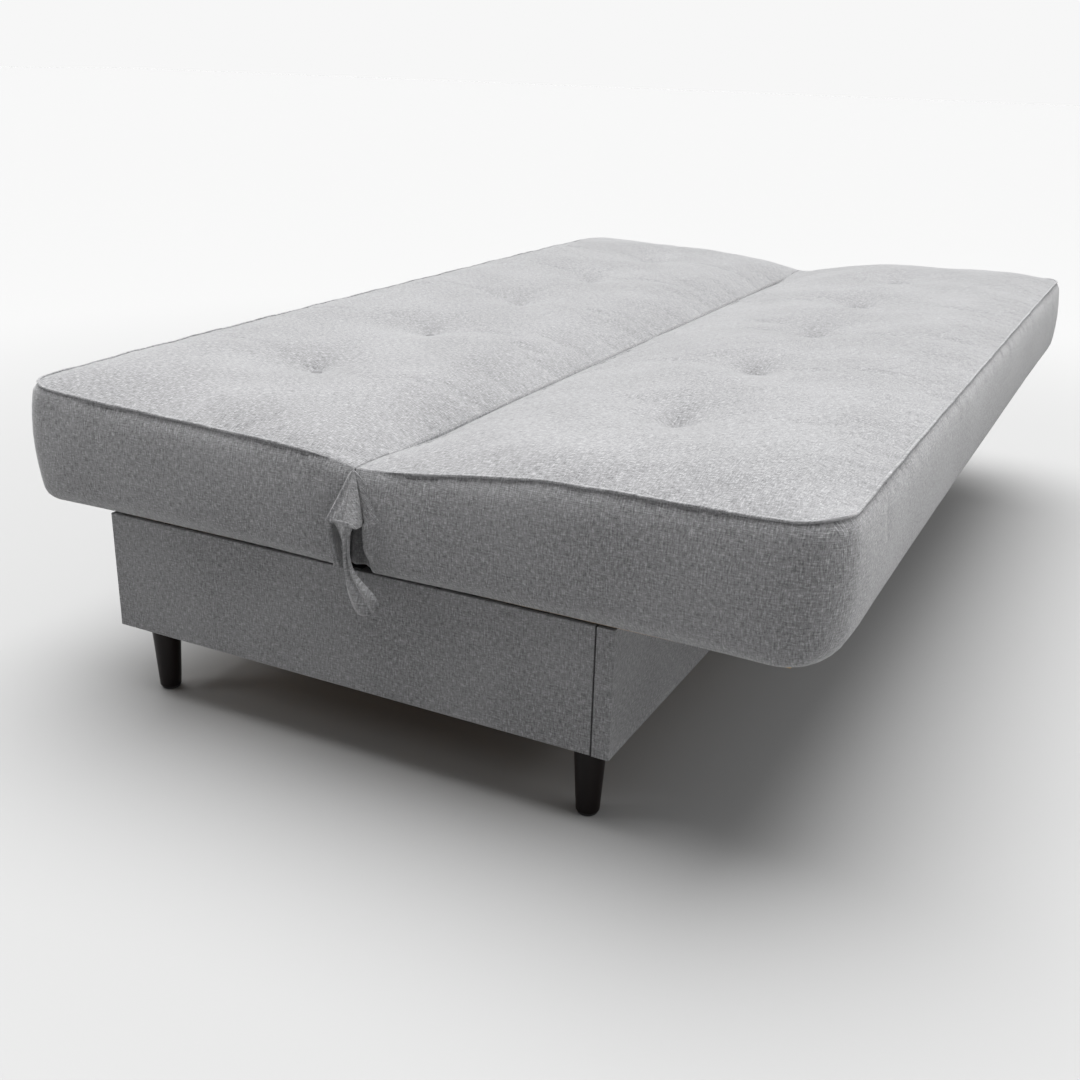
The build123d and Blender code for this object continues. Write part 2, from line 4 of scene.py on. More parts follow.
import bpy
import numpy as np
from bpy.props import FloatProperty, FloatVectorProperty, PointerProperty
from mathutils import Matrix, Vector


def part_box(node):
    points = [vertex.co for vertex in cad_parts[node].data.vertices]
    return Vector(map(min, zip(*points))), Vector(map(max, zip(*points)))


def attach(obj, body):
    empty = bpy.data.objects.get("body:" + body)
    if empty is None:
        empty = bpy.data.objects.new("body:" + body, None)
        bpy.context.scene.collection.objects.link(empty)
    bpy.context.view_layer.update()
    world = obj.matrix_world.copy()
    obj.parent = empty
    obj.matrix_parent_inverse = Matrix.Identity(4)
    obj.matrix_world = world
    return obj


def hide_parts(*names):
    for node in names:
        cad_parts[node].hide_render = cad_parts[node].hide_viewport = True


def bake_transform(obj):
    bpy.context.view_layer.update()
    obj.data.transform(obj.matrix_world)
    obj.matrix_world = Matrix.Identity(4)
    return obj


bl_info = {
    "name": "Sprung sofa bed",
    "version": (1, 0, 0),
    "blender": (4, 5, 0),
    "location": "View3D > Sidebar > Sofa Bed",
    "description": "Tufted mattress sections, folded ears, box cloth, legs and folding steelwork",
    "category": "Add Mesh",
}

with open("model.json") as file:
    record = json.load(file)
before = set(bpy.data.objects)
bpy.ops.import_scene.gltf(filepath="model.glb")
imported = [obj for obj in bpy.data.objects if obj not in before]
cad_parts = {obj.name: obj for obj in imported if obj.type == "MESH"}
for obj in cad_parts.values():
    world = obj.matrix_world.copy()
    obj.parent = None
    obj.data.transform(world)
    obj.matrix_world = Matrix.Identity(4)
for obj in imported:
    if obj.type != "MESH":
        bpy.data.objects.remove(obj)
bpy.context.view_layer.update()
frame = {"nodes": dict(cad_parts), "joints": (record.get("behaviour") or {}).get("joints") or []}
NODES = frame["nodes"]
JOINTS = {j["name"]: j for j in frame["joints"]}
HINGE_Y, HINGE_Z = JOINTS["back_fold"]["pos_m"][1:]
SEAT_LOW, SEAT_HIGH = (np.array(c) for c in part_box("seat_cover"))
BACK_LOW, BACK_HIGH = (np.array(c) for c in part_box("back_cover"))
SIDES = (("left", -1), ("right", 1))
HALF_LENGTH = float(SEAT_HIGH[0])
BOTTOM_Z = float(SEAT_LOW[2])
SECTIONS = {
    # way along Y, depth from the hinge, nose under the long edge, corner radius in plan
    "seat": (-1, float(HINGE_Y - SEAT_LOW[1]), 0.045, 0.058),
    "back": (1, float(BACK_HIGH[1] - HINGE_Y), 0.024, 0.036),
}
NOTCH_X = 0.953
# Places of the tufts along the bed
TUFT_X = 0.34 * np.arange(-2, 3)


# --- Settings ---


def length_setting(name, description, default):
    """A setting that is a length in metres."""
    return FloatProperty(name=name, description=description, default=default, unit="LENGTH")


def colour_setting(name, description, default):
    """A setting that is a colour."""
    return FloatVectorProperty(name=name, description=description, default=default, subtype="COLOR")


class MattressSettings(bpy.types.PropertyGroup):
    valley: length_setting("Valley height", "Cover's height over the hinge line", 0.438)
    crown: length_setting("Crown", "Rise of the top cloth above its edge seam", 0.018)
    tuft: length_setting("Tuft depth", "Depth of each tuft", 0.0175)
    bulge: length_setting("Bulge", "Swell of the side walls", 0.006)
    puff: FloatProperty(name="Air", description="Pressure under the cloth while it settles", default=2.6)
    cap: length_setting("Settling", "Furthest the cloth may move", 0.0055)


class ClothSettings(bpy.types.PropertyGroup):
    yarn_mid: colour_setting("Yarn", "Main yarn", (0.200, 0.200, 0.205))
    yarn_light: colour_setting("Light yarn", "Pale flecks", (0.385, 0.385, 0.393))
    yarn_dark: colour_setting("Dark yarn", "Dark flecks", (0.068, 0.068, 0.071))
    thread: length_setting("Thread pitch", "Distance from thread to thread", 0.0022)


class WorkSettings(bpy.types.PropertyGroup):
    leg: colour_setting("Leg stain", "Stain of the legs", (0.007, 0.0035, 0.003))
    steel: colour_setting("Steelwork", "Coat of the steelwork", (0.03, 0.03, 0.033))
    pine: colour_setting("Pine", "Sawn rails", (0.62, 0.42, 0.22))


# --- Meshes ---


def new_object(name, data):
    """An object linked into the scene."""
    obj = bpy.data.objects.new(name, data)
    bpy.context.scene.collection.objects.link(obj)
    return obj


def new_mesh(name, points, faces, smooth=True):
    """A mesh object at the origin from an array of points and an array or list of faces."""
    mesh = bpy.data.meshes.new(name)
    mesh.from_pydata(points.tolist(), [], faces if isinstance(faces, list) else faces.tolist())
    mesh.update()
    mesh.polygons.foreach_set("use_smooth", np.full(len(mesh.polygons), smooth))
    return new_object(name, mesh)


def points_of(mesh):
    """The mesh's points as an N by 3 array."""
    flat = np.empty(len(mesh.vertices) * 3)
    mesh.vertices.foreach_get("co", flat)
    return flat.reshape(-1, 3)


def corners_of(mesh):
    """The number of the point at each corner of each face."""
    corners = np.empty(len(mesh.loops), dtype=np.int32)
    mesh.loops.foreach_get("vertex_index", corners)
    return corners


def set_map(mesh, places):
    """Lays the cloth map: one place in metres for each corner of each face."""
    layer = mesh.uv_layers.new(name="cloth")
    layer.data.foreach_set("uv", places.astype(np.float32).ravel())


def grid_quads(ids):
    """Faces between neighbouring points of a grid."""
    return np.stack([ids[:-1, :-1], ids[1:, :-1], ids[1:, 1:], ids[:-1, 1:]], -1).reshape(-1, 4)


def smooth_step(t):
    """Eased step from 0 to 1: 3 t squared less 2 t cubed, held at its ends."""
    t = np.clip(t, 0, 1)
    return t * t * (3 - 2 * t)


def tube_faces(rings, around):
    """Faces of a tube whose rings follow one another, closed by its last two points: one for each end."""
    ids = np.arange(rings * around).reshape(rings, around)
    ids = np.concatenate([ids, ids[:, :1]], 1)
    first, last = rings * around, rings * around + 1
    low, high = ids[0].tolist(), ids[-1].tolist()
    caps = [(first, b, a) for a, b in zip(low, low[1:])] + [(last, a, b) for a, b in zip(high, high[1:])]
    return grid_quads(ids.T).tolist() + caps


def swept_tube(centre, radius, around=8, hint=(0.02, 0.03, 1.0)):
    """A round tube along a centre line: circles square to the path, ends closed by a point.

    Each ring lies in the plane of two vectors square to the path; hint is never along the path."""
    centre = np.asarray(centre, float)
    radius = np.broadcast_to(np.asarray(radius, float), len(centre)).copy()
    along = np.gradient(centre, axis=0)
    along /= np.linalg.norm(along, axis=1, keepdims=True)
    aside = np.cross(along, hint)
    aside /= np.linalg.norm(aside, axis=1, keepdims=True)
    across = np.cross(along, aside)
    angle = np.linspace(0, 2 * np.pi, around, endpoint=False)
    ring = np.cos(angle)[None, :, None] * aside[:, None] + np.sin(angle)[None, :, None] * across[:, None]
    points = centre[:, None] + ring * radius[:, None, None]
    points = np.concatenate([points.reshape(-1, 3), centre[:1], centre[-1:]])
    return points, tube_faces(len(centre), around)


def join_shapes(shapes):
    """Points and faces of several shapes as one."""
    points, faces, start = [], [], 0
    for shape_points, shape_faces in shapes:
        points.append(shape_points)
        faces += [tuple(i + start for i in face) for face in shape_faces]
        start += len(shape_points)
    return np.concatenate(points), faces


def mesh_of(name, shapes):
    """One object from several shapes."""
    points, faces = join_shapes(shapes)
    return new_mesh(name, points, faces)


# --- Materials ---


def scaled(colour, factor, lift=0.0):
    """A colour times a factor, held at 1."""
    return tuple(min(1.0, c * factor + lift) for c in colour)


class Nodes:
    """Short way to place nodes in a tree and join them."""

    def __init__(self, tree):
        self.tree = tree

    def feed(self, socket, value):
        """Joins another node's output to a socket, or sets the socket's own value."""
        if isinstance(value, bpy.types.NodeSocket):
            self.tree.links.new(value, socket)
        else:
            socket.default_value = value

    def node(self, kind, links=(), **values):
        node = self.tree.nodes.new(kind)
        for key, value in values.items():
            setattr(node, key, value)
        for socket, value in dict(links).items():
            self.feed(node.inputs[socket], value)
        return node

    def math(self, operation, a, b=0.0):
        return self.node("ShaderNodeMath", {0: a, 1: b}, operation=operation).outputs[0]

    def plus(self, a, b):
        return self.math("ADD", a, b)

    def times(self, a, b):
        return self.math("MULTIPLY", a, b)


class Shader(Nodes):
    """The nodes of a new material round its surface."""

    def __init__(self, name):
        self.material = bpy.data.materials.new(name)
        self.material.use_nodes = True
        super().__init__(self.material.node_tree)
        self.surface = self.tree.nodes["Principled BSDF"]

    def place(self):
        return self.node("ShaderNodeTexCoord").outputs["Object"]

    def mix(self, share, a, b):
        colours = [v if isinstance(v, bpy.types.NodeSocket) else (*v, 1.0) for v in (a, b)]
        links = {0: share, 6: colours[0], 7: colours[1]}
        return self.node("ShaderNodeMix", links, data_type="RGBA").outputs[2]

    def mapped(self, source, scale):
        return self.node("ShaderNodeMapping", {0: source, 3: scale}).outputs[0]

    def noise(self, vector, scale, detail=2.0, rough=0.5):
        links = {"Vector": vector, "Scale": scale, "Detail": detail, "Roughness": rough}
        return self.node("ShaderNodeTexNoise", links).outputs[0]

    def ramp(self, value, low, high):
        links = {"Value": value, "From Min": low, "From Max": high}
        return self.node("ShaderNodeMapRange", links, interpolation_type="SMOOTHSTEP").outputs[0]

    def spread(self, value, low, high):
        return self.node("ShaderNodeMapRange", {"Value": value, "To Min": low, "To Max": high}).outputs[0]

    def set(self, **values):
        for key, value in values.items():
            self.feed(self.surface.inputs[key.replace("_", " ")], value)

    def bump(self, height, strength, distance):
        links = {"Height": height, "Strength": strength, "Distance": distance}
        self.feed(self.surface.inputs["Normal"], self.node("ShaderNodeBump", links).outputs[0])


def melange(name, source, shade=1.0):
    """Coarse grey melange cloth: crossed threads, slubs along both threads, pale and dark flecks.

    source is "uv" for pieces with a cloth map in metres, or "object" for flat boards."""
    cloth = bpy.context.scene.sofa_cloth
    s = Shader(name)
    coord = s.node("ShaderNodeTexCoord")
    vector = coord.outputs["UV"] if source == "uv" else coord.outputs["Object"]
    parts = s.node("ShaderNodeSeparateXYZ", {0: vector})
    if source == "uv":
        across, along = parts.outputs[0], parts.outputs[1]
    else:
        across, along = s.plus(parts.outputs[0], parts.outputs[1]), parts.outputs[2]
    flat = s.node("ShaderNodeCombineXYZ", {0: across, 1: along, 2: 0.0}).outputs[0]
    count = 2 * np.pi / cloth.thread
    warp = s.math("ABSOLUTE", s.math("SINE", s.times(across, count / 2)))
    weft = s.math("ABSOLUTE", s.math("SINE", s.times(along, count / 2)))
    upright = s.noise(s.mapped(flat, (500.0, 105.0, 1.0)), 1.0, 3.0, 0.62)
    level = s.noise(s.mapped(flat, (125.0, 480.0, 1.0)), 1.0, 3.0, 0.62)
    fleck = s.noise(s.mapped(flat, (430.0, 350.0, 1.0)), 1.0, 2.0, 0.75)
    broad = s.noise(flat, 5.5, 3.0, 0.55)
    slub = s.plus(s.times(upright, 0.56), s.times(level, 0.44))
    pale = s.times(s.ramp(slub, 0.5, 0.64), 0.85)
    dark = s.times(s.ramp(slub, 0.5, 0.37), 0.8)
    tone = [scaled(v, shade) for v in (cloth.yarn_mid, cloth.yarn_light, cloth.yarn_dark)]
    colour = s.mix(pale, tone[0], tone[1])
    colour = s.mix(dark, colour, tone[2])
    colour = s.mix(s.times(s.ramp(fleck, 0.56, 0.72), 0.45), colour, tone[1])
    colour = s.mix(s.times(s.ramp(fleck, 0.44, 0.28), 0.45), colour, tone[2])
    colour = s.mix(s.times(s.ramp(broad, 0.35, 0.7), 0.16), colour, tone[1])
    s.set(Base_Color=colour, Roughness=0.93, Sheen_Weight=0.35, Sheen_Roughness=0.55)
    s.set(Specular_IOR_Level=0.2)
    threads = s.times(s.plus(warp, weft), 0.5)
    bumps = s.plus(slub, s.times(fleck, 0.7))
    height = s.plus(s.times(threads, 0.4), bumps)
    s.bump(height, 0.55, 0.0012)
    return s.material


def plain_cloth(name, colour, scale, rough=0.9):
    """Fine even cloth or spun web: speckled colour and a fibre bump."""
    s = Shader(name)
    place = s.place()
    grain = s.noise(place, scale, 4.0, 0.7)
    s.set(Base_Color=s.mix(grain, scaled(colour, 0.7), scaled(colour, 1.3)), Roughness=rough)
    s.bump(grain, 0.5, 0.0006)
    return s.material


def wood(name, colour, grain_axis, rough, contrast=0.35, coat=0.0):
    """Wood: rings pulled out along the grain, fine pores, colour drift and uneven gloss."""
    s = Shader(name)
    place = s.place()
    stretch = [38.0, 38.0, 38.0]
    stretch[grain_axis] = 1.6
    long_grain = s.noise(s.mapped(place, tuple(stretch)), 1.0, 5.0, 0.62)
    pore_scale = [420.0, 420.0, 420.0]
    pore_scale[grain_axis] = 14.0
    pores = s.noise(s.mapped(place, tuple(pore_scale)), 1.0, 2.0, 0.6)
    dark, light = scaled(colour, 1 - contrast), scaled(colour, 1 + contrast)
    tint = s.mix(s.ramp(long_grain, 0.34, 0.66), dark, light)
    tint = s.mix(s.times(s.ramp(pores, 0.56, 0.7), 0.4), tint, scaled(colour, 0.45))
    s.set(Base_Color=tint, Roughness=s.spread(long_grain, rough - 0.06, rough + 0.08))
    s.set(Coat_Weight=coat, Specular_IOR_Level=0.25)
    s.bump(s.plus(long_grain, s.times(pores, 0.5)), 0.25, 0.0006)
    return s.material


def chip_board(name, colour):
    """Pressed chips: cells of differing tone with fine dust between them."""
    s = Shader(name)
    place = s.place()
    chips = s.node("ShaderNodeTexVoronoi", {"Vector": s.mapped(place, (1.0, 0.55, 1.0)), "Scale": 330.0})
    dust = s.noise(place, 90.0, 4.0, 0.6)
    tone = s.node("ShaderNodeSeparateColor", {0: chips.outputs["Color"]}).outputs[0]
    base = s.mix(tone, scaled(colour, 0.7), scaled(colour, 1.25))
    s.set(Base_Color=s.mix(s.times(dust, 0.3), base, scaled(colour, 0.55)), Roughness=0.85)
    s.bump(chips.outputs["Distance"], 0.2, 0.0005)
    return s.material


def metal(name, colour, rough, metallic, coat=0.0, speckle=0.2):
    """Plated or coated steel: rubbed streaks, fine orange peel and worn spots."""
    s = Shader(name)
    place = s.place()
    streak = s.noise(s.mapped(place, (60.0, 60.0, 900.0)), 1.0, 3.0, 0.6)
    worn = s.noise(place, 45.0, 5.0, 0.65)
    tint = s.mix(s.times(s.ramp(worn, 0.55, 0.75), speckle), colour, scaled(colour, 2.2, 0.02))
    gloss = s.spread(streak, rough - 0.08, rough + 0.12)
    s.set(Base_Color=tint, Roughness=gloss, Metallic=metallic, Coat_Weight=coat)
    s.bump(s.plus(streak, worn), 0.12, 0.0003)
    return s.material


def moulded(name, colour, rough):
    """Moulded plastic, rubber or foam: fine pitted skin and a slow change of tone."""
    s = Shader(name)
    place = s.place()
    pits = s.noise(place, 600.0, 3.0, 0.6)
    drift = s.noise(place, 18.0, 3.0, 0.5)
    s.set(Base_Color=s.mix(drift, scaled(colour, 0.85), scaled(colour, 1.12)), Roughness=rough)
    s.bump(pits, 0.3, 0.0004)
    return s.material


def paint(obj, finish):
    """Gives the whole object one finish."""
    obj.data.materials.clear()
    obj.data.materials.append(library()[finish])
    obj.data.polygons.foreach_set("material_index", np.zeros(len(obj.data.polygons), dtype=np.int32))
    return obj


def library():
    """Every finish of the sofa bed, made once."""
    known = bpy.data.materials.get("melange_top")
    if known is None:
        work = bpy.context.scene.sofa_work
        melange("melange_top", "uv")
        melange("melange_board", "object", 0.92)
        # A lighter copy of the melange: painted highlight where the seam's welt catches the light
        melange("welt_cloth_painted_highlight", "object", 1.15)
        # A darker copy of the melange: painted shade for the hollow behind the ears' falls
        melange("pocket_cloth_painted_shade", "uv", 0.55)
        wood("leg_stain", tuple(work.leg), 2, 0.42, 0.35)
        wood("rail_pine_x", tuple(work.pine), 0, 0.7)
        wood("rail_pine_y", tuple(work.pine), 1, 0.7)
        chip_board("chip_board", (0.24, 0.19, 0.14))
        chip_board("hard_board", (0.27, 0.16, 0.09))
        moulded("seat_foam", (0.80, 0.74, 0.52), 0.95)
        plain_cloth("spun_web", (0.022, 0.022, 0.023), 700.0, 0.85)
        # The buttons are real, but their cloth is darker than the cover: painted shade in the cores of the
        # tufts
        plain_cloth("tuft_cloth_painted_shade", (0.15, 0.15, 0.154), 900.0)
        plain_cloth("stitch_thread", (0.11, 0.11, 0.115), 1500.0, 0.7)
        moulded("pad_rubber", (0.02, 0.02, 0.02), 0.75)
        moulded("glide_nylon", (0.03, 0.03, 0.03), 0.5)
        metal("coated_steel", tuple(work.steel), 0.42, 0.0, 0.3)
        metal("zinc_steel", (0.55, 0.56, 0.57), 0.36, 1.0, 0.0, 0.35)
        metal("spring_steel", (0.22, 0.22, 0.23), 0.38, 1.0, 0.0, 0.3)
    return bpy.data.materials


# --- Mattress sections ---


def edge_height(name, d):
    """Height of the end seam at a depth from the hinge.

    Seat: a step eased over 300 mm plus a slow cubic rise. Back: a quick exponential rise plus a late lift."""
    valley = bpy.context.scene.sofa_mattress.valley
    if name == "seat":
        return valley + 0.030 * smooth_step(d / 0.30) + 0.006 * (d / 0.61) ** 3
    return valley + 0.020 * (1 - np.exp(-d / 0.11)) + 0.014 * (d / 0.58) ** 5


def front_lift(x, share):
    """The long edge's seam stands a little higher away from the ends."""
    return 0.007 * (1 - np.exp(-(HALF_LENGTH - np.abs(x)) / 0.15)) * share**2


def plan_place(s, t, half, depth, corner):
    """Coons patch over a rectangle whose two outer corners are round.

    The outer edge and the ends are walked by arc length to the middle of each corner arc;
    the patch is the sum of its ruled surfaces less the bilinear one through its corners."""
    run = half - corner
    reach = np.abs(s) * (run + np.pi / 4 * corner)
    turn = np.clip((reach - run) / corner, 0, None)
    edge_x = np.sign(s) * np.where(reach <= run, reach, run + corner * np.sin(turn))
    edge_d = np.where(reach <= run, depth, depth - corner + corner * np.cos(turn))
    side_run = depth - corner
    side_reach = t * (side_run + np.pi / 4 * corner)
    side_turn = np.clip((side_reach - side_run) / corner, 0, None)
    side_x = np.where(side_reach <= side_run, half, half - corner + corner * np.cos(side_turn))
    side_d = np.where(side_reach <= side_run, side_reach, side_run + corner * np.sin(side_turn))
    corner_x = half - corner + corner * np.cos(np.pi / 4)
    corner_d = depth - corner + corner * np.sin(np.pi / 4)
    share = (s + 1) / 2
    x = (1 - t) * s * half + t * edge_x + (2 * share - 1) * side_x
    x -= (1 - t) * (2 * share - 1) * half + t * (2 * share - 1) * corner_x
    d = t * edge_d + side_d - t * corner_d
    return x, d


def tuft_field(name, x, d, depth):
    """Depth of the top cloth at the tufts, below the crown.

    Each tuft is a wide shallow bowl and a narrow funnel, with soft folds round it
    and a short crease along the row."""
    settings = bpy.context.scene.sofa_mattress
    drop = np.zeros_like(x)
    for i, tuft_x in enumerate(TUFT_X):
        dx, dd = x - tuft_x, d - depth / 2
        away = np.hypot(dx, dd)
        angle = np.arctan2(dd, dx)
        full = (0.0 if name == "seat" else -0.008) + settings.tuft
        drop += 0.012 * np.exp(-((away / 0.072) ** 1.5)) + full * np.exp(-((away / 0.0215) ** 1.5))
        drop += 0.0030 * np.exp(-((dd / 0.013) ** 2) - np.abs(dx) / 0.036) * (1 - np.exp(-((dx / 0.02) ** 2)))
        seed = (3.1 * i + (1.7 if name == "seat" else 0.4)) % 6.28
        folds = np.cos(3 * angle + seed) + 0.6 * np.cos(5 * angle - 1.6 * seed) + 0.8 * np.cos(2 * angle)
        drop += 0.0022 * folds * (away / 0.035) * np.exp(-away / 0.034)
    return drop


def tension_field(x, d, name):
    """Long soft pulls in the cloth: a few slanting waves that differ between the sections."""
    turn = 1.0 if name == "seat" else -1.0
    waves = np.sin(9.0 * x + turn * 6.0 * d + 0.7) * np.cos(13.0 * d + 2.0 * x)
    waves += 0.6 * np.sin(21.0 * x - turn * 17.0 * d + 2.2) + 0.4 * np.cos(34.0 * x + 26.0 * d * turn)
    return 0.0011 * waves


def section_points(name, s, t, r, detail=True):
    """Places of the section's surface, for s along the bed, t away from the hinge and r up from the bottom.

    Walls follow the rounded plan, drawn in at the bottom by a quarter-round nose and at the top by
    the seam, and swell between them. The top rises from the seam to its crown with tufts let into it."""
    way, depth, nose, corner = SECTIONS[name]
    settings = bpy.context.scene.sofa_mattress
    end_nose = 0.016
    rise = 0.185 * r
    inset = {}
    for key, radius in (("end", end_nose), ("front", nose)):
        left = np.clip(radius - rise, 0, radius)
        inset[key] = radius - np.sqrt(radius**2 - left**2)
    wall = np.clip(r, 0, 1)
    swell = settings.bulge * np.sin(np.pi * np.clip(wall, 0, 1) ** 1.15) ** 0.8
    pinch = 0.0035 * smooth_step((wall - 0.93) / 0.07)
    half = HALF_LENGTH - 0.004 - inset["end"] + swell - pinch
    reach = depth - 0.003 - inset["front"] + 1.3 * swell - pinch
    shrink = np.clip(corner - np.maximum(inset["end"], inset["front"]) * 0.6, 0.012, None)
    x, d = plan_place(s, t, half, reach, shrink)
    # The junction wall leans: clear of the hinge at the bottom, meeting the other section on top
    lean = 0.024 * (1 - r) ** 0.8 * (1 - t) ** 6
    # A notch in the wall at each end leaves room for the hinge arms and their pawls
    from_notch = np.abs(np.abs(x) - NOTCH_X)
    notch = (1 - smooth_step((from_notch - 0.019) / 0.008)) * (1 - smooth_step((r - 0.84) / 0.1))
    d = d + lean + 0.078 * notch * (1 - t) ** 6
    seam = edge_height(name, np.clip(d, 0, None)) + front_lift(x, np.clip(d / depth, 0, 1))
    z = BOTTOM_Z + (seam - BOTTOM_Z) * r
    if detail:
        ripple = np.sin(38.0 * x + 21.0 * d) * 0.5 + np.sin(91.0 * x - 60.0 * d + 1.0) * 0.3
        z = z + 0.0012 * ripple * smooth_step(r) * smooth_step(d / 0.12)
    top = r >= 1
    roll = 0.046 if way > 0 else 0.075
    fuller = 0.004 if way > 0 else 0.0
    crown = 0.001 + (settings.crown + fuller - 0.001) * (1 - np.exp(-np.clip(d, 0, None) / roll))
    from_end = np.clip(half - np.abs(x), 0, None)
    from_front = np.clip(reach - d, 0, None)
    fullness = (1 - np.exp(-from_end / 0.05)) * (1 - np.exp(-from_front / 0.042))
    sink = 0.012 * smooth_step(from_end / 0.22) * np.exp(-((np.clip(d, 0, None) / 0.034) ** 1.3))
    lift = crown * fullness + 0.004 * smooth_step(from_end / 0.5) * np.exp(-d / 0.06) - sink
    if detail:
        lift = lift + tension_field(x, d, name) * fullness
    drop = tuft_field(name, x, d, depth)
    z = np.where(top, z + lift - drop, z)
    return np.stack([x, HINGE_Y + way * d, z], -1)


def lattice(nx, nt, nr):
    """Numbers of the points on the skin of a grid block, and its six faces as quads and patch marks."""
    ids = np.full((nx + 1, nt + 1, nr + 1), -1, dtype=np.int64)
    skin = np.zeros(ids.shape, bool)
    for axis in range(3):
        for side in (0, -1):
            cut = [slice(None)] * 3
            cut[axis] = side
            skin[tuple(cut)] = True
    ids[skin] = np.arange(skin.sum())
    quads, marks = [], []

    def patch(grid, mark, flip):
        q = grid_quads(grid)
        quads.append(q[:, ::-1] if flip else q)
        marks.append(np.full(len(q), mark))

    patch(ids[:, :, -1], 0, False)
    patch(ids[:, :, 0], 0, True)
    patch(ids[:, -1, :], 1, True)
    patch(ids[:, 0, :], 1, False)
    patch(ids[-1], 2, False)
    patch(ids[0], 2, True)
    return ids, np.argwhere(skin), np.concatenate(quads), np.concatenate(marks)


def graded(count, power=1.0):
    """Shares from 0 to 1, closer together near both ends."""
    u = np.linspace(-1, 1, count + 1)
    return (np.sign(u) * (1 - (1 - np.abs(u)) ** power) + 1) / 2


HEIGHT_STEPS = (
    0, 0.012, 0.03, 0.055, 0.09, 0.13, 0.18, 0.25, 0.33, 0.45, 0.58, 0.7, 0.8, 0.88, 0.93, 0.965, 0.99, 1.0
)


def skin_places(name, nx, nt, rows, detail=True):
    """The lattice of one section and the places of its points."""
    ids, at, quads, marks = lattice(nx, nt, len(rows) - 1)
    s = graded(nx, 1.12)[at[:, 0]] * 2 - 1
    t = graded(nt, 1.15)[at[:, 1]]
    r = np.asarray(rows)[at[:, 2]]
    return ids, at, quads, marks, section_points(name, s, t, r, detail)


FINE_GRID = (300, 92)
COARSE_GRID = (130, 42)
SETTLE_FRAMES = 18


def settle(name):
    """How far the cloth moves as it settles on its filling: a pressure cloth run on a coarse skin.

    The seams, the walls' feet, the junction and the tufts hold still, and the cloth is cut slightly large."""
    settings = bpy.context.scene.sofa_mattress
    way, depth = SECTIONS[name][:2]
    nx, nt = COARSE_GRID
    rows = np.asarray(HEIGHT_STEPS)[[0, 3, 6, 8, 10, 12, 14, 17]]
    ids, at, quads, _, places = skin_places(name, nx, nt, rows, False)
    if way < 0:
        quads = quads[:, ::-1]
    obj = new_mesh(f"{name}_settling", places, quads)
    row = at[:, 2]
    held = (row == 0) | (row == len(rows) - 1) & ((at[:, 0] == 0) | (at[:, 0] == nx) | (at[:, 1] == nt))
    held |= at[:, 1] == 0
    for tuft_x in TUFT_X:
        away = np.hypot(places[:, 0] - tuft_x, np.abs(places[:, 1] - HINGE_Y) - depth / 2)
        held |= (row == len(rows) - 1) & (away < 0.017)
    obj.vertex_groups.new(name="held").add(np.flatnonzero(held).tolist(), 1.0, "REPLACE")
    cloth = obj.modifiers.new("cloth", "CLOTH")
    c = cloth.settings
    c.quality = 6
    c.mass = 0.25
    c.tension_stiffness = 20
    c.compression_stiffness = 12
    c.shear_stiffness = 8
    c.bending_stiffness = 0.35
    c.vertex_group_mass = "held"
    c.pin_stiffness = 1.0
    c.shrink_min = -0.004
    c.use_pressure = True
    c.uniform_pressure_force = settings.puff
    c.effector_weights.gravity = 0.0
    cloth.collision_settings.use_collision = False
    scene = bpy.context.scene
    cloth.point_cache.frame_start = 1
    cloth.point_cache.frame_end = SETTLE_FRAMES
    for step in range(1, SETTLE_FRAMES + 1):
        scene.frame_set(step)
    graph = bpy.context.evaluated_depsgraph_get()
    settled = points_of(obj.evaluated_get(graph).to_mesh())
    move = settled - places
    far = np.linalg.norm(move, axis=1, keepdims=True)
    move *= np.minimum(1.0, settings.cap / np.maximum(far, 1e-9))
    scene.frame_set(1)
    bpy.data.objects.remove(obj)
    return ids, move


def spread_move(coarse_ids, move, fine_at, shape):
    """Carries the coarse skin's moves to the fine skin by straight interpolation over each face."""
    n = np.array(coarse_ids.shape) - 1
    u = fine_at / (np.array(shape) - 1) * n
    low = np.minimum(np.floor(u).astype(int), n - 1)
    share = u - low
    total = np.zeros((len(fine_at), 3))
    weight = np.zeros((len(fine_at), 1))
    for i in (0, 1):
        for j in (0, 1):
            for k in (0, 1):
                w = np.where(i, share[:, 0], 1 - share[:, 0]) * np.where(j, share[:, 1], 1 - share[:, 1])
                w = (w * np.where(k, share[:, 2], 1 - share[:, 2]))[:, None]
                number = coarse_ids[low[:, 0] + i, low[:, 1] + j, low[:, 2] + k]
                known = (number >= 0)[:, None]
                total += np.where(known, w * move[np.maximum(number, 0)], 0)
                weight += np.where(known, w, 0)
    return total / np.maximum(weight, 1e-9)


def cloth_map(obj, marks):
    """A cloth map in metres.

    Top and bottom lie by length and depth, long walls by length and height, ends by depth and height."""
    mark = np.repeat(marks, 4)
    p = points_of(obj.data)[corners_of(obj.data)]
    u = np.where(mark == 2, p[:, 1], p[:, 0])
    v = np.where(mark == 0, p[:, 1], p[:, 2])
    set_map(obj.data, np.stack([u, v], -1))


def build_section(name):
    """One mattress section: settled cloth skin with its crown, tufts, seams and noses."""
    way = SECTIONS[name][0]
    nx, nt = FINE_GRID
    coarse_ids, move = settle(name)
    ids, at, quads, marks, places = skin_places(name, nx, nt, HEIGHT_STEPS)
    shift = spread_move(coarse_ids, move, at, ids.shape)
    places = places + shift
    # Neither section may pass the plane where they meet
    places[:, 1] = HINGE_Y + way * np.maximum(way * (places[:, 1] - HINGE_Y), 0.0003)
    if way < 0:
        quads = quads[:, ::-1]
    obj = new_mesh(f"{name}_mattress", places, quads)
    cloth_map(obj, marks)
    paint(obj, "melange_top")
    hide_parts(f"{name}_foam", f"{name}_cover")
    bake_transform(obj)
    seam_line(name, ids, places, nx, nt)
    return obj


STITCH_PITCH = 0.0085
STITCH_LENGTH = 0.0052


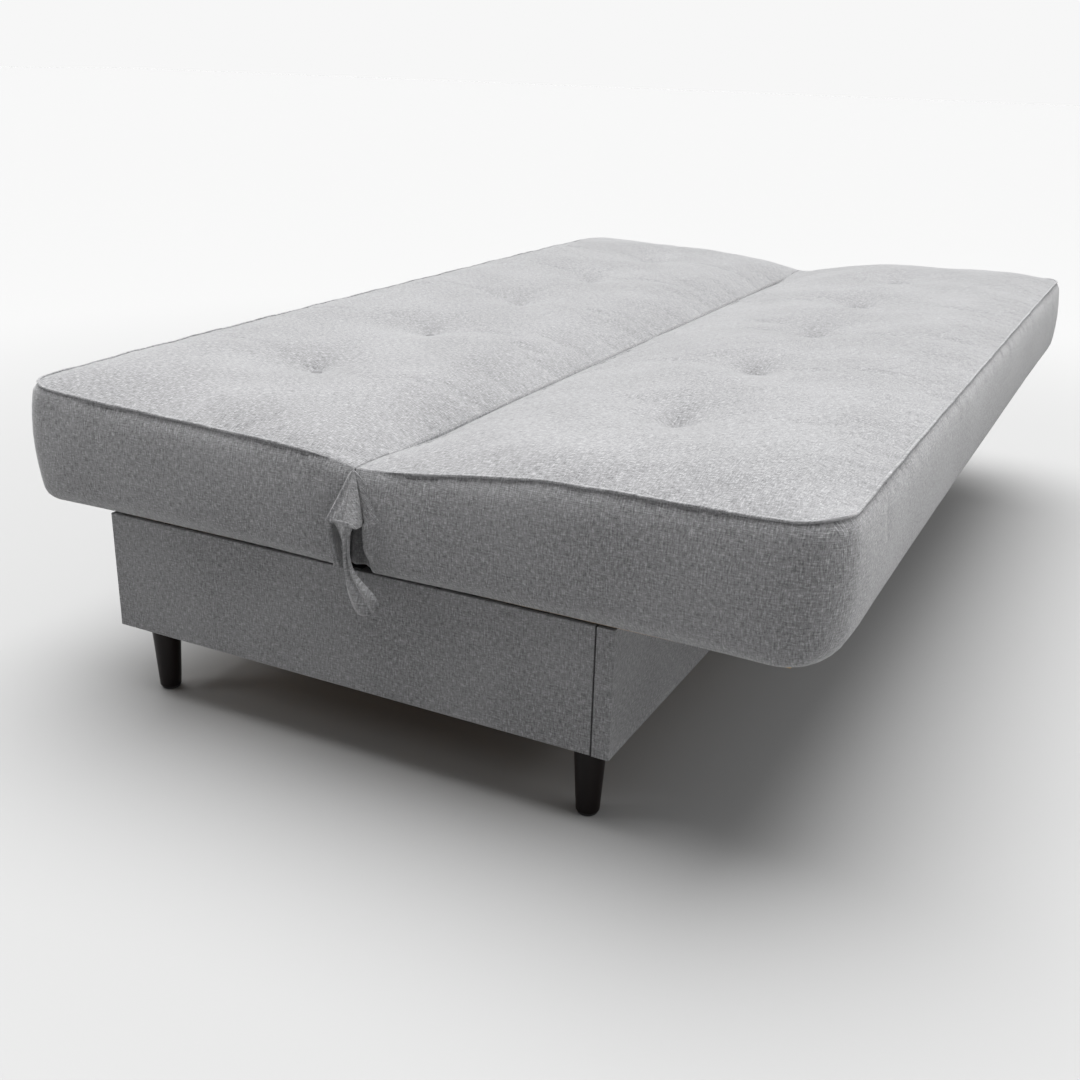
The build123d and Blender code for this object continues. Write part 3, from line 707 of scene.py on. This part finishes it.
def seam_line(name, ids, places, nx, nt):
    """The top seam: a thin welt along the edge of the top, made pale as a painted highlight on its rolled
    edge, and a row of dark stitches just below it.
    """
    first = int(0.10 * nt)
    around = [ids[0, j, -1] for j in range(first, nt)]
    around += [ids[i, nt, -1] for i in range(0, nx)]
    around += [ids[nx, j, -1] for j in range(nt, first - 1, -1)]
    inner = [ids[2, j, -1] for j in range(first, nt)]
    inner += [ids[min(max(i, 2), nx - 2), nt - 2, -1] for i in range(0, nx)]
    inner += [ids[nx - 2, j, -1] for j in range(nt, first - 1, -1)]
    path, inside = places[around], places[inner]
    out = path - inside
    out[:, 2] = 0
    out /= np.linalg.norm(out, axis=1, keepdims=True)
    length = np.concatenate([[0], np.cumsum(np.linalg.norm(np.diff(path, axis=0), axis=1))])
    fade = smooth_step(length / 0.05) * smooth_step((length[-1] - length) / 0.05)
    welt_path = path + out * 0.0006 + np.array([0, 0, 0.0004])
    welt = mesh_of(f"{name}_seam_welt", [swept_tube(welt_path, 0.0004 + 0.0017 * fade, 8)])
    # The welt's paler cloth is a painted highlight along the seam
    paint(welt, "welt_cloth_painted_highlight")
    starts = np.arange(0.03, length[-1] - 0.03, STITCH_PITCH)
    shapes = []
    for at in starts:
        span = np.linspace(at, at + STITCH_LENGTH, 4)
        line = np.stack([np.interp(span, length, path[:, k]) for k in range(3)], -1)
        away = np.stack([np.interp(span, length, out[:, k]) for k in range(3)], -1)
        line = line + away * 0.0016 - np.array([0, 0, 0.0058])
        radius = 0.00055 * np.array([0.5, 1.0, 1.0, 0.5])
        shapes.append(swept_tube(line, radius, 5))
    thread = mesh_of(f"{name}_stitches", shapes)
    paint(thread, "stitch_thread")
    for piece in (welt, thread):
        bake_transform(piece)


def build_valley():
    """The cover's own cloth across the hinge line: a narrow strip that rounds the bottom of the valley.

    Its height over the hinge line grows with the square of the distance, so both rims lie under
    the sections, and it dips below them at the ends, where they meet level."""
    s = np.linspace(-0.999, 0.999, 400)
    line = section_points("seat", s, np.zeros_like(s), np.ones_like(s), False)
    off = np.linspace(-0.008, 0.008, 13)
    x = np.broadcast_to(line[:, :1], (400, 13))
    inner = smooth_step((HALF_LENGTH - np.abs(line[:, :1])) / 0.15)
    z = line[:, 2:] + (0.0012 + 0.0017 * (off[None, :] / 0.008) ** 2) * inner - 0.0016 * (1 - inner)
    grid = np.stack([x, np.broadcast_to(HINGE_Y + off[None, :], x.shape), z], -1)
    strip = sheet_mesh("valley_strip", grid, 0.0009)
    paint(strip, "melange_top")
    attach(strip, "carriage")


# --- Ears: the cover's slack end cloth, folded outwards at the junction ---

EAR_TOP = 0.437
EAR_FOLD = 0.372
EAR_FOOT = 0.300
TAIL_AROUND = 40


def sheet_mesh(name, grid, thickness=0.0016):
    """A cloth sheet from a grid of places, given its thickness on both sides of the grid.

    The wall is the grid moved half the thickness along its own normals each way, with the rims joined."""
    down = np.gradient(grid, axis=0)
    over = np.gradient(grid, axis=1)
    normal = np.cross(down, over)
    normal /= np.maximum(np.linalg.norm(normal, axis=2, keepdims=True), 1e-9)
    rows, cols = grid.shape[:2]
    both = np.stack([grid + normal * thickness / 2, grid - normal * thickness / 2])
    ids = np.arange(2 * rows * cols).reshape(2, rows, cols)
    rim = []
    edges = ((ids[:, 0, :], False), (ids[:, -1, :], True), (ids[:, :, 0], True), (ids[:, :, -1], False))
    for edge, flip in edges:
        quad = np.stack([edge[0, :-1], edge[0, 1:], edge[1, 1:], edge[1, :-1]], -1)
        rim.append(quad[:, ::-1] if flip else quad)
    faces = np.concatenate([grid_quads(ids[0]), grid_quads(ids[1].T), *rim])
    obj = new_mesh(name, both.reshape(-1, 3), faces)
    run_v = np.cumsum(np.linalg.norm(np.diff(grid, axis=0), axis=2), axis=0)
    run_u = np.cumsum(np.linalg.norm(np.diff(grid, axis=1), axis=2), axis=1)
    span_v = np.concatenate([np.zeros((1, cols)), run_v])
    span_u = np.concatenate([np.zeros((rows, 1)), run_u], 1)
    flat = np.tile(np.stack([span_u, span_v], -1).reshape(-1, 2), (2, 1))
    set_map(obj.data, flat[faces.ravel()])
    return obj


def curve_through(knots, t):
    """Smooth path through knots: a Catmull-Rom cubic between each pair, for t from 0 to 1."""
    knots = np.asarray(knots, float)
    ends = np.concatenate([[2 * knots[0] - knots[1]], knots, [2 * knots[-1] - knots[-2]]])
    u = np.clip(np.asarray(t), 0, 1) * (len(knots) - 1)
    i = np.minimum(u.astype(int), len(knots) - 2)
    f = (u - i)[:, None] if knots.ndim > 1 else u - i
    a, b, c, d = ends[i], ends[i + 1], ends[i + 2], ends[i + 3]
    return 0.5 * (2 * b + (c - a) * f + (2 * a - 5 * b + 4 * c - d) * f**2 + (3 * b - a - 3 * c + d) * f**3)


def place_ear(side, out, y, z):
    """A place given by its distance out from the end face."""
    return np.stack([side * (HALF_LENGTH - 0.0005 + out), y, z], -1)


def across_ear(way, drop, knots, count):
    """Cross line of an ear's half: a smooth curve through knots of offset and distance out."""
    u = np.linspace(0, 1, count)
    line = np.stack([curve_through(k, u) for k in knots])
    middle = 0.0245 - 0.001 * drop
    return middle + way * line[:, :, 0], line[:, :, 1]


HOOD_LINES = {
    # offset from the ear's middle and distance out: at the fold, just under it, and at the mattress's foot
    1: (
        [(0.041, -0.001), (0.0345, 0.002), (0.0275, 0.013), (0.0250, 0.0265), (0.0235, 0.031),
         (0.0205, 0.0305), (0.010, 0.027), (0.0, 0.028)],
        [(0.041, -0.001), (0.0345, 0.002), (0.0275, 0.013), (0.0250, 0.0265), (0.0215, 0.0300),
         (0.0190, 0.0275), (0.0225, 0.012), (0.030, -0.016)],
        [(0.041, -0.001), (0.0375, 0.003), (0.0335, 0.009), (0.0300, 0.0130), (0.0262, 0.0125),
         (0.0240, 0.009), (0.0255, -0.002), (0.031, -0.016)],
    ),
    -1: (
        [(0.060, -0.001), (0.046, 0.003), (0.0345, 0.011), (0.0275, 0.0135), (0.0215, 0.009),
         (0.0185, 0.008), (0.0205, 0.018), (0.0235, 0.031), (0.0215, 0.032), (0.010, 0.029), (0.0, 0.028)],
        [(0.060, -0.001), (0.046, 0.003), (0.0345, 0.011), (0.0275, 0.0140), (0.0215, 0.0130),
         (0.0185, 0.0110), (0.0172, 0.006), (0.0165, 0.001), (0.0165, -0.004), (0.0170, -0.009),
         (0.018, -0.016)],
        [(0.052, -0.001), (0.042, 0.003), (0.0345, 0.0095), (0.029, 0.0120), (0.0245, 0.0110),
         (0.0225, 0.0085), (0.0212, 0.004), (0.0205, 0.0), (0.0205, -0.005), (0.021, -0.010),
         (0.021, -0.016)],
    ),
}


def ear_half(side, way):
    """Half of the ear, from the end wall over its flank to the middle of the light panel, apex to foot.

    Down to the fold every cross line keeps one shape that grows with the drop; under the fold it turns
    in sharply to an open hollow, then passes slowly to the flatter line at the mattress's foot."""
    fold, under, foot = (np.array(line)[None] for line in HOOD_LINES[way])
    under_fold = 1 + np.linspace(0, 1, 11)[1:] * 0.07
    v = np.concatenate([np.linspace(0, 1, 44), under_fold, np.linspace(1.1, 2, 30)])
    grow = np.clip(v, 0, 1)
    scale = np.stack([grow**0.81, grow**1.15], -1)[:, None, :]
    turn = smooth_step((v - 1) / 0.07)[:, None, None]
    fall = smooth_step((v - 1) * 0.95)[:, None, None]
    knots = fold * scale * (1 - turn) + turn * (under * (1 - fall) + foot * fall)
    knots[:, 0, 1] = -0.001
    y, out = across_ear(way, grow[:, None], knots, 44)
    u = np.linspace(0, 1, 44)[None, :]
    drop = v[:, None]
    hood_z = EAR_TOP - (EAR_TOP - EAR_FOLD) * drop
    z = np.where(drop < 1, hood_z, EAR_FOLD - (EAR_FOLD - EAR_FOOT) * (drop - 1))
    z = z + (0.006 if way > 0 else 0.002) * (1 - u) * np.clip(drop, 0, 1) * (2 - np.maximum(drop, 1))
    pulls = 0.0009 * np.sin(26 * u + 5 * drop) * grow[:, None]
    sink = smooth_step((drop - 1.45) / 0.55) * (0.016 if way < 0 else 0.006)
    return place_ear(side, out + pulls - sink, y, z)


def ear_pocket(side):
    """Cloth at the back of the ear: it closes the gap between the sections behind the falls."""
    v = np.linspace(0, 1, 24)[:, None]
    u = np.linspace(-1, 1, 18)[None, :]
    y = 0.0245 + 0.027 * u * v**0.6
    out = -0.020 - 0.003 * np.cos(2.2 * np.pi * u) * v
    z = EAR_TOP - 0.014 - (EAR_TOP - 0.014 - EAR_FOOT) * v
    return place_ear(side, out, y, np.broadcast_to(z, y.shape))


def tail_tube(side):
    """The tail: gathered under the fold, drawn thin, then spread into a flat rounded lobe.

    Each ring is an oval. Its centre, half width and half thickness follow smooth curves down the
    tail, its long axis turns from level to slanting, and two creases run along its front."""
    v = np.linspace(0, 1, 90)
    centre = curve_through(
        [(0.0270, 0.0225, 0.3765), (0.0275, 0.0210, 0.3640), (0.0290, 0.0180, 0.3440),
         (0.0300, 0.0165, 0.3240), (0.0300, 0.0120, 0.3050), (0.0310, 0.0010, 0.2860),
         (0.0320, -0.0130, 0.2690), (0.0310, -0.0210, 0.2590)], v)
    half = curve_through([(0.0200, 0.002), (0.0100, 0.003), (0.0048, 0.004), (0.0050, 0.0045),
                          (0.0088, 0.0050), (0.0165, 0.0055), (0.0215, 0.0050), (0.0180, 0.0040)], v)
    rounded = np.sqrt(np.clip(1 - np.clip((v - 0.8) / 0.2, 0, 1) ** 2, 0.0, 1))
    half = half * np.maximum(rounded, 0.02)[:, None]
    slant = np.interp(v, [0, 0.35, 0.6, 0.8, 1], [0.0, 0.1, 0.45, 0.72, 0.78])
    angle = np.linspace(0, 2 * np.pi, TAIL_AROUND, endpoint=False)[None, :]
    wide = half[:, :1] * np.cos(angle)
    front = half[:, 1:] * np.sin(angle)
    strength = (0.0028 * smooth_step(v / 0.25) * rounded)[:, None]
    crease = strength * np.cos(3.3 * np.pi * np.cos(angle) / 2 + 3.0 * v[:, None]) * (np.sin(angle) > 0)
    out = centre[:, :1] + front + crease * np.sin(angle)
    y = centre[:, 1:2] - wide * np.cos(slant)[:, None]
    z = centre[:, 2:] + wide * np.sin(slant)[:, None]
    ring = place_ear(side, out, y, z)
    points = np.concatenate([ring.reshape(-1, 3), ring[:1].mean(1), ring[-1:].mean(1)])
    faces = tube_faces(len(v), TAIL_AROUND)
    if side > 0:
        faces = [tuple(face[::-1]) for face in faces]
    return points, faces


def ear_sheet(name, grid, side, finish):
    """One cloth sheet of an ear, with its cloth map in metres and one finish."""
    if side < 0:
        grid = grid[:, ::-1]
    obj = sheet_mesh(name, grid)
    paint(obj, finish)
    return obj


def build_ear(side, side_name):
    """One folded ear: two halves, one on each section, the pocket behind them and the tail."""
    for name, way in (("back", 1), ("seat", -1)):
        grid = ear_half(side, way)
        grid = grid if way > 0 else grid[:, ::-1]
        obj = ear_sheet(f"ear_{name}_{side_name}", grid, side, "melange_top")
        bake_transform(obj)
    name = f"ear_pocket_{side_name}"
    # The pocket's darker cloth is painted shade for the hollow behind the falls
    pocket = ear_sheet(name, ear_pocket(side), side, "pocket_cloth_painted_shade")
    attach(pocket, "carriage")
    points, faces = tail_tube(side)
    tail = mesh_of(f"ear_tail_{side_name}", [(points, faces)])
    set_map(tail.data, points[corners_of(tail.data)][:, 1:])
    paint(tail, "melange_top")
    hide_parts(f"gusset_{side_name}")
    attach(tail, "carriage")


# --- Assist springs ---


def helix_tube(start, end, coil, wire, turns, steps=14, around=6):
    """A coil spring: circles of wire square to a helix between two points.

    The helix's centre runs straight, its radius turns at an even rate, and each ring of the wire
    is spanned by the radius and the cross product of the radius and the helix's direction."""
    start, end = np.array(start), np.array(end)
    axis = end - start
    unit = axis / np.linalg.norm(axis)
    first = np.cross(unit, (1.0, 0.0, 0.0))
    first /= np.linalg.norm(first)
    second = np.cross(unit, first)
    t = np.linspace(0, 1, turns * steps + 1)
    angle = 2 * np.pi * turns * t
    radial = np.cos(angle)[:, None] * first + np.sin(angle)[:, None] * second
    centre = start + t[:, None] * axis + coil * radial
    along = np.gradient(centre, axis=0)
    along /= np.linalg.norm(along, axis=1, keepdims=True)
    across = np.cross(along, radial)
    ring = np.linspace(0, 2 * np.pi, around, endpoint=False)
    shape = np.cos(ring)[None, :, None] * radial[:, None] + np.sin(ring)[None, :, None] * across[:, None]
    points = np.concatenate([(centre[:, None] + wire * shape).reshape(-1, 3), centre[:1], centre[-1:]])
    return points, tube_faces(len(centre), around)


def build_assist_spring(side, side_name):
    """One assist spring: a close coil with a hook round the peg at each end."""
    low, high = (np.array(c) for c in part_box(f"assist_spring_{side_name}"))
    x = (low[0] + high[0]) / 2
    peg_a = np.array([x, low[1] + 0.0064, 0.170])
    peg_b = np.array([x, high[1] - 0.0064, 0.207])
    unit = (peg_b - peg_a) / np.linalg.norm(peg_b - peg_a)
    coil_a, coil_b = peg_a + unit * 0.018, peg_b - unit * 0.018
    shapes = [helix_tube(coil_a, coil_b, 0.0062, 0.0008, 88)]
    up = np.cross(unit, (1.0, 0.0, 0.0))
    for peg, tip, way in ((peg_a, coil_a, 1), (peg_b, coil_b, -1)):
        turn = np.linspace(0, 1.6 * np.pi, 24)[:, None]
        ring = peg + 0.0051 * (np.cos(turn) * unit * way + np.sin(turn) * up)
        lead = tip + up * 0.0062 + (ring[0] - tip - up * 0.0062) * np.linspace(0, 0.9, 6)[:, None]
        shapes.append(swept_tube(np.concatenate([lead, ring]), 0.0008, 6, hint=(1.0, 0.0, 0.0)))
    obj = mesh_of(f"assist_coil_{side_name}", shapes)
    paint(obj, "spring_steel")
    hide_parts(f"assist_spring_{side_name}")
    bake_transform(obj)


# --- Box joints: a dark cord painted in as the joints' shade ---


def build_box_joint_shade(side, side_name):
    """A dark round cord pressed into the joint between the front board's cloth and the end's cloth: its dark
    colour is painted shade that draws the joint as a dark line.
    """
    front = float(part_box("front_board_cover")[1][1])
    low, high = (np.array(c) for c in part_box(f"end_cover_{side_name}"))
    middle, gap = (front + low[1]) / 2, low[1] - front
    t = np.linspace(0, 1, 60)
    face = side * (max(abs(low[0]), abs(high[0])) - 0.45 * gap)
    z = low[2] + 0.001 + (high[2] - low[2] - 0.002) * t
    path = np.stack([face + 0.0002 * np.sin(30 * t), middle + 0.00015 * np.sin(23 * t + 1), z], -1)
    welt = mesh_of(f"box_joint_shade_{side_name}", [swept_tube(path, 0.42 * gap, 8, hint=(1.0, 0.1, 0.0))])
    # The cord takes the dark spun web's colour: painted shade along the joint
    paint(welt, "spun_web")
    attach(welt, "base")


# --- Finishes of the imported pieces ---

FINISHES = {
    "leg_stain": ("leg_front_left", "leg_front_right", "leg_rear_left", "leg_rear_right"),
    "melange_board": ("front_board_cover", "end_cover_left", "end_cover_right", "rear_cover"),
    "chip_board": ("front_board", "rear_board", "end_board_left", "end_board_right"),
    "hard_board": ("floor_panel",),
    "rail_pine_x": ("floor_bearers", "corner_blocks", "seat_long_rails", "back_long_rails"),
    "rail_pine_y": ("seat_end_rails", "seat_cross_rails", "back_end_rails", "back_cross_rails"),
    "glide_nylon": ("leg_glides",),
    "pad_rubber": ("rest_pads",),
    "spun_web": ("seat_base_cloth", "back_base_cloth"),
    # Buttons darker than the cover cloth: painted shade in the tufts' cores
    "tuft_cloth_painted_shade": ("seat_buttons", "back_buttons"),
    "spring_steel": ("seat_springs", "back_springs"),
    "zinc_steel": (
        "leg_bolts", "tee_nuts", "base_plate_bolts", "lower_link_pins", "upper_link_pins",
        "main_pivot_pins", "seat_arm_bolts", "back_arm_bolts", "pawl_left", "pawl_right",
    ),
    "coated_steel": (
        "base_plate_left", "base_plate_right", "front_link_left", "front_link_right",
        "rear_link_left", "rear_link_right", "carrier_left", "carrier_right",
        "seat_hinge_arm_left", "seat_hinge_arm_right", "back_hinge_arm_left", "back_hinge_arm_right",
    ),
}


def finish_nodes(*names):
    """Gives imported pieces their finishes."""
    for name in names:
        for node in FINISHES[name]:
            paint(NODES[node], name)


# --- Operators ---


class SOFA_OT_mattress(bpy.types.Operator):
    """Build both mattress sections with their seams and stitches"""

    bl_idname = "sofa.mattress"
    bl_label = "Mattress sections"

    def execute(self, context):
        for name in SECTIONS:
            build_section(name)
        build_valley()
        return {"FINISHED"}


class SOFA_OT_ears(bpy.types.Operator):
    """Build the folded ears at both ends of the junction"""

    bl_idname = "sofa.ears"
    bl_label = "Folded ears"

    def execute(self, context):
        for side_name, side in SIDES:
            build_ear(side, side_name)
        return {"FINISHED"}


class SOFA_OT_assist_springs(bpy.types.Operator):
    """Build the coil springs that help the swing"""

    bl_idname = "sofa.assist_springs"
    bl_label = "Assist springs"

    def execute(self, context):
        for side_name, side in SIDES:
            build_assist_spring(side, side_name)
        return {"FINISHED"}


class SOFA_OT_box(bpy.types.Operator):
    """Finish the storage box: cloth wraps, boards, floor, and a dark cord beside the front board, painted
    shade for the joint
    """

    bl_idname = "sofa.box"
    bl_label = "Storage box"

    def execute(self, context):
        finish_nodes("melange_board", "chip_board", "hard_board", "pad_rubber")
        for side_name, side in SIDES:
            build_box_joint_shade(side, side_name)
        return {"FINISHED"}


class SOFA_OT_legs(bpy.types.Operator):
    """Finish the legs and their glides"""

    bl_idname = "sofa.legs"
    bl_label = "Legs"

    def execute(self, context):
        finish_nodes("leg_stain", "glide_nylon")
        return {"FINISHED"}


class SOFA_OT_frames(bpy.types.Operator):
    """Finish the sections' rails, springs, base cloths and tuft buttons"""

    bl_idname = "sofa.frames"
    bl_label = "Section frames"

    def execute(self, context):
        finish_nodes("rail_pine_x", "rail_pine_y", "spring_steel", "spun_web", "tuft_cloth_painted_shade")
        return {"FINISHED"}


class SOFA_OT_steelwork(bpy.types.Operator):
    """Finish the folding steelwork, its pins and its bolts"""

    bl_idname = "sofa.steelwork"
    bl_label = "Folding steelwork"

    def execute(self, context):
        finish_nodes("coated_steel", "zinc_steel")
        return {"FINISHED"}


def frame_matrix(x_axis, y_axis, z_axis, place):
    """The matrix whose columns are three axes and a place."""
    columns = np.zeros((4, 4))
    columns[:3] = np.stack([x_axis, y_axis, z_axis, place], axis=1)
    columns[3, 3] = 1
    return Matrix(columns.tolist())


def soft_box(name, place, aim, size, power, colour=(1.0, 1.0, 1.0)):
    """A square soft light aimed at a point."""
    light = bpy.data.lights.new(name, "AREA")
    light.shape = "RECTANGLE"
    light.size, light.size_y = size
    light.energy = power
    light.color = colour
    obj = new_object(name, light)
    direction = np.array(aim) - np.array(place)
    back = -direction / np.linalg.norm(direction)
    right = np.cross((0.0, 1.0, 0.001), back)
    right /= np.linalg.norm(right)
    up = np.cross(back, right)
    obj.matrix_world = frame_matrix(right, up, back, place)
    return obj


# Strength of the backdrop where it is brightest
PALE = 0.93
CAMERA_EYE = (-2.2737, -0.8820, 0.9369)
CAMERA_TURN = (0.4620, 0.3659, 0.0295)
CAMERA_LENS = 42.38


class SOFA_OT_stage(bpy.types.Operator):
    """Set the pale floor, the soft studio light and the camera"""

    bl_idname = "sofa.stage"
    bl_label = "Stage"

    def execute(self, context):
        scene = context.scene
        size = 40.0
        ground = np.array([(-size, -size, 0), (size, -size, 0), (size, size, 0), (-size, size, 0)], float)
        floor = new_mesh("studio_floor", ground, np.array([[0, 1, 2, 3]]), False)
        s = Shader("studio_floor")
        place = s.place()
        away = s.node("ShaderNodeVectorMath", {0: place}, operation="LENGTH").outputs["Value"]
        tone = s.plus(s.ramp(away, 1.3, 3.2), s.times(s.noise(place, 0.8, 2.0, 0.5), 0.05))
        s.set(Base_Color=s.mix(tone, (0.345, 0.345, 0.345), (0.405, 0.405, 0.405)), Roughness=1.0)
        s.set(Specular_IOR_Level=0.0)
        paint(floor, "studio_floor")
        world = bpy.data.worlds.new("studio")
        scene.world = world
        world.use_nodes = True
        w = Nodes(world.node_tree)
        toward = w.node("ShaderNodeTexCoord").outputs["Generated"]
        along = w.node("ShaderNodeSeparateXYZ", {0: toward}).outputs[0]
        links = {"Value": along, "From Min": -0.75, "From Max": 0.35, "To Min": 0.08, "To Max": PALE}
        light = w.node("ShaderNodeMapRange", links, interpolation_type="SMOOTHSTEP").outputs[0]
        # The backdrop looks pale from every side, though less light comes from the near end
        seen = w.times(w.node("ShaderNodeLightPath").outputs["Is Camera Ray"], PALE)
        background = world.node_tree.nodes["Background"]
        w.feed(background.inputs["Strength"], w.math("MAXIMUM", seen, light))
        w.feed(background.inputs["Color"], (1.0, 1.0, 1.0, 1.0))
        sun = bpy.data.lights.new("overhead", "SUN")
        sun.energy = 5.6
        sun.angle = 1.1
        new_object("overhead", sun).rotation_euler = (-0.16, 0.24, 0.0)
        soft_box("front_fill", (-0.3, -3.6, 2.9), (-0.3, -0.4, 0.4), (2.4, 1.4), 24.0)
        soft_box("end_light", (-2.4, 2.6, 1.7), (-1.0, 0.0, 0.35), (0.7, 0.7), 12.0)
        camera = bpy.data.cameras.new("camera")
        camera.lens = CAMERA_LENS
        camera.clip_end = 100.0
        holder = new_object("camera", camera)
        yaw, pitch, roll = CAMERA_TURN
        forward = np.array([np.cos(yaw) * np.cos(pitch), np.sin(yaw) * np.cos(pitch), -np.sin(pitch)])
        right = np.array([np.sin(yaw), -np.cos(yaw), 0.0])
        up = np.cross(right, forward)
        x_axis = right * np.cos(roll) + up * np.sin(roll)
        y_axis = up * np.cos(roll) - right * np.sin(roll)
        holder.matrix_world = frame_matrix(x_axis, y_axis, -forward, CAMERA_EYE)
        camera.shift_x = -0.002
        camera.shift_y = 0.003
        scene.camera = holder
        scene.view_settings.view_transform = "Standard"
        return {"FINISHED"}


BUILDERS = (
    SOFA_OT_mattress,
    SOFA_OT_ears,
    SOFA_OT_assist_springs,
    SOFA_OT_box,
    SOFA_OT_legs,
    SOFA_OT_frames,
    SOFA_OT_steelwork,
    SOFA_OT_stage,
)


class SOFA_PT_panel(bpy.types.Panel):
    """The sofa bed's builders and their settings"""

    bl_label = "Sofa Bed"
    bl_idname = "SOFA_PT_panel"
    bl_space_type = "VIEW_3D"
    bl_region_type = "UI"
    bl_category = "Sofa Bed"

    def draw(self, context):
        for builder in BUILDERS:
            self.layout.operator(builder.bl_idname)
        for group in (context.scene.sofa_mattress, context.scene.sofa_cloth, context.scene.sofa_work):
            for key in group.__annotations__:
                self.layout.prop(group, key)


GROUPS = {"sofa_mattress": MattressSettings, "sofa_cloth": ClothSettings, "sofa_work": WorkSettings}


def register():
    for cls in (*GROUPS.values(), *BUILDERS, SOFA_PT_panel):
        bpy.utils.register_class(cls)
    for name, cls in GROUPS.items():
        setattr(bpy.types.Scene, name, PointerProperty(type=cls))


def unregister():
    for name in GROUPS:
        delattr(bpy.types.Scene, name)
    for cls in (SOFA_PT_panel, *reversed(BUILDERS), *GROUPS.values()):
        bpy.utils.unregister_class(cls)


def main():
    register()
    for builder in BUILDERS:
        getattr(bpy.ops.sofa, builder.bl_idname.split(".")[1])()


if __name__ == "__main__":
    main()
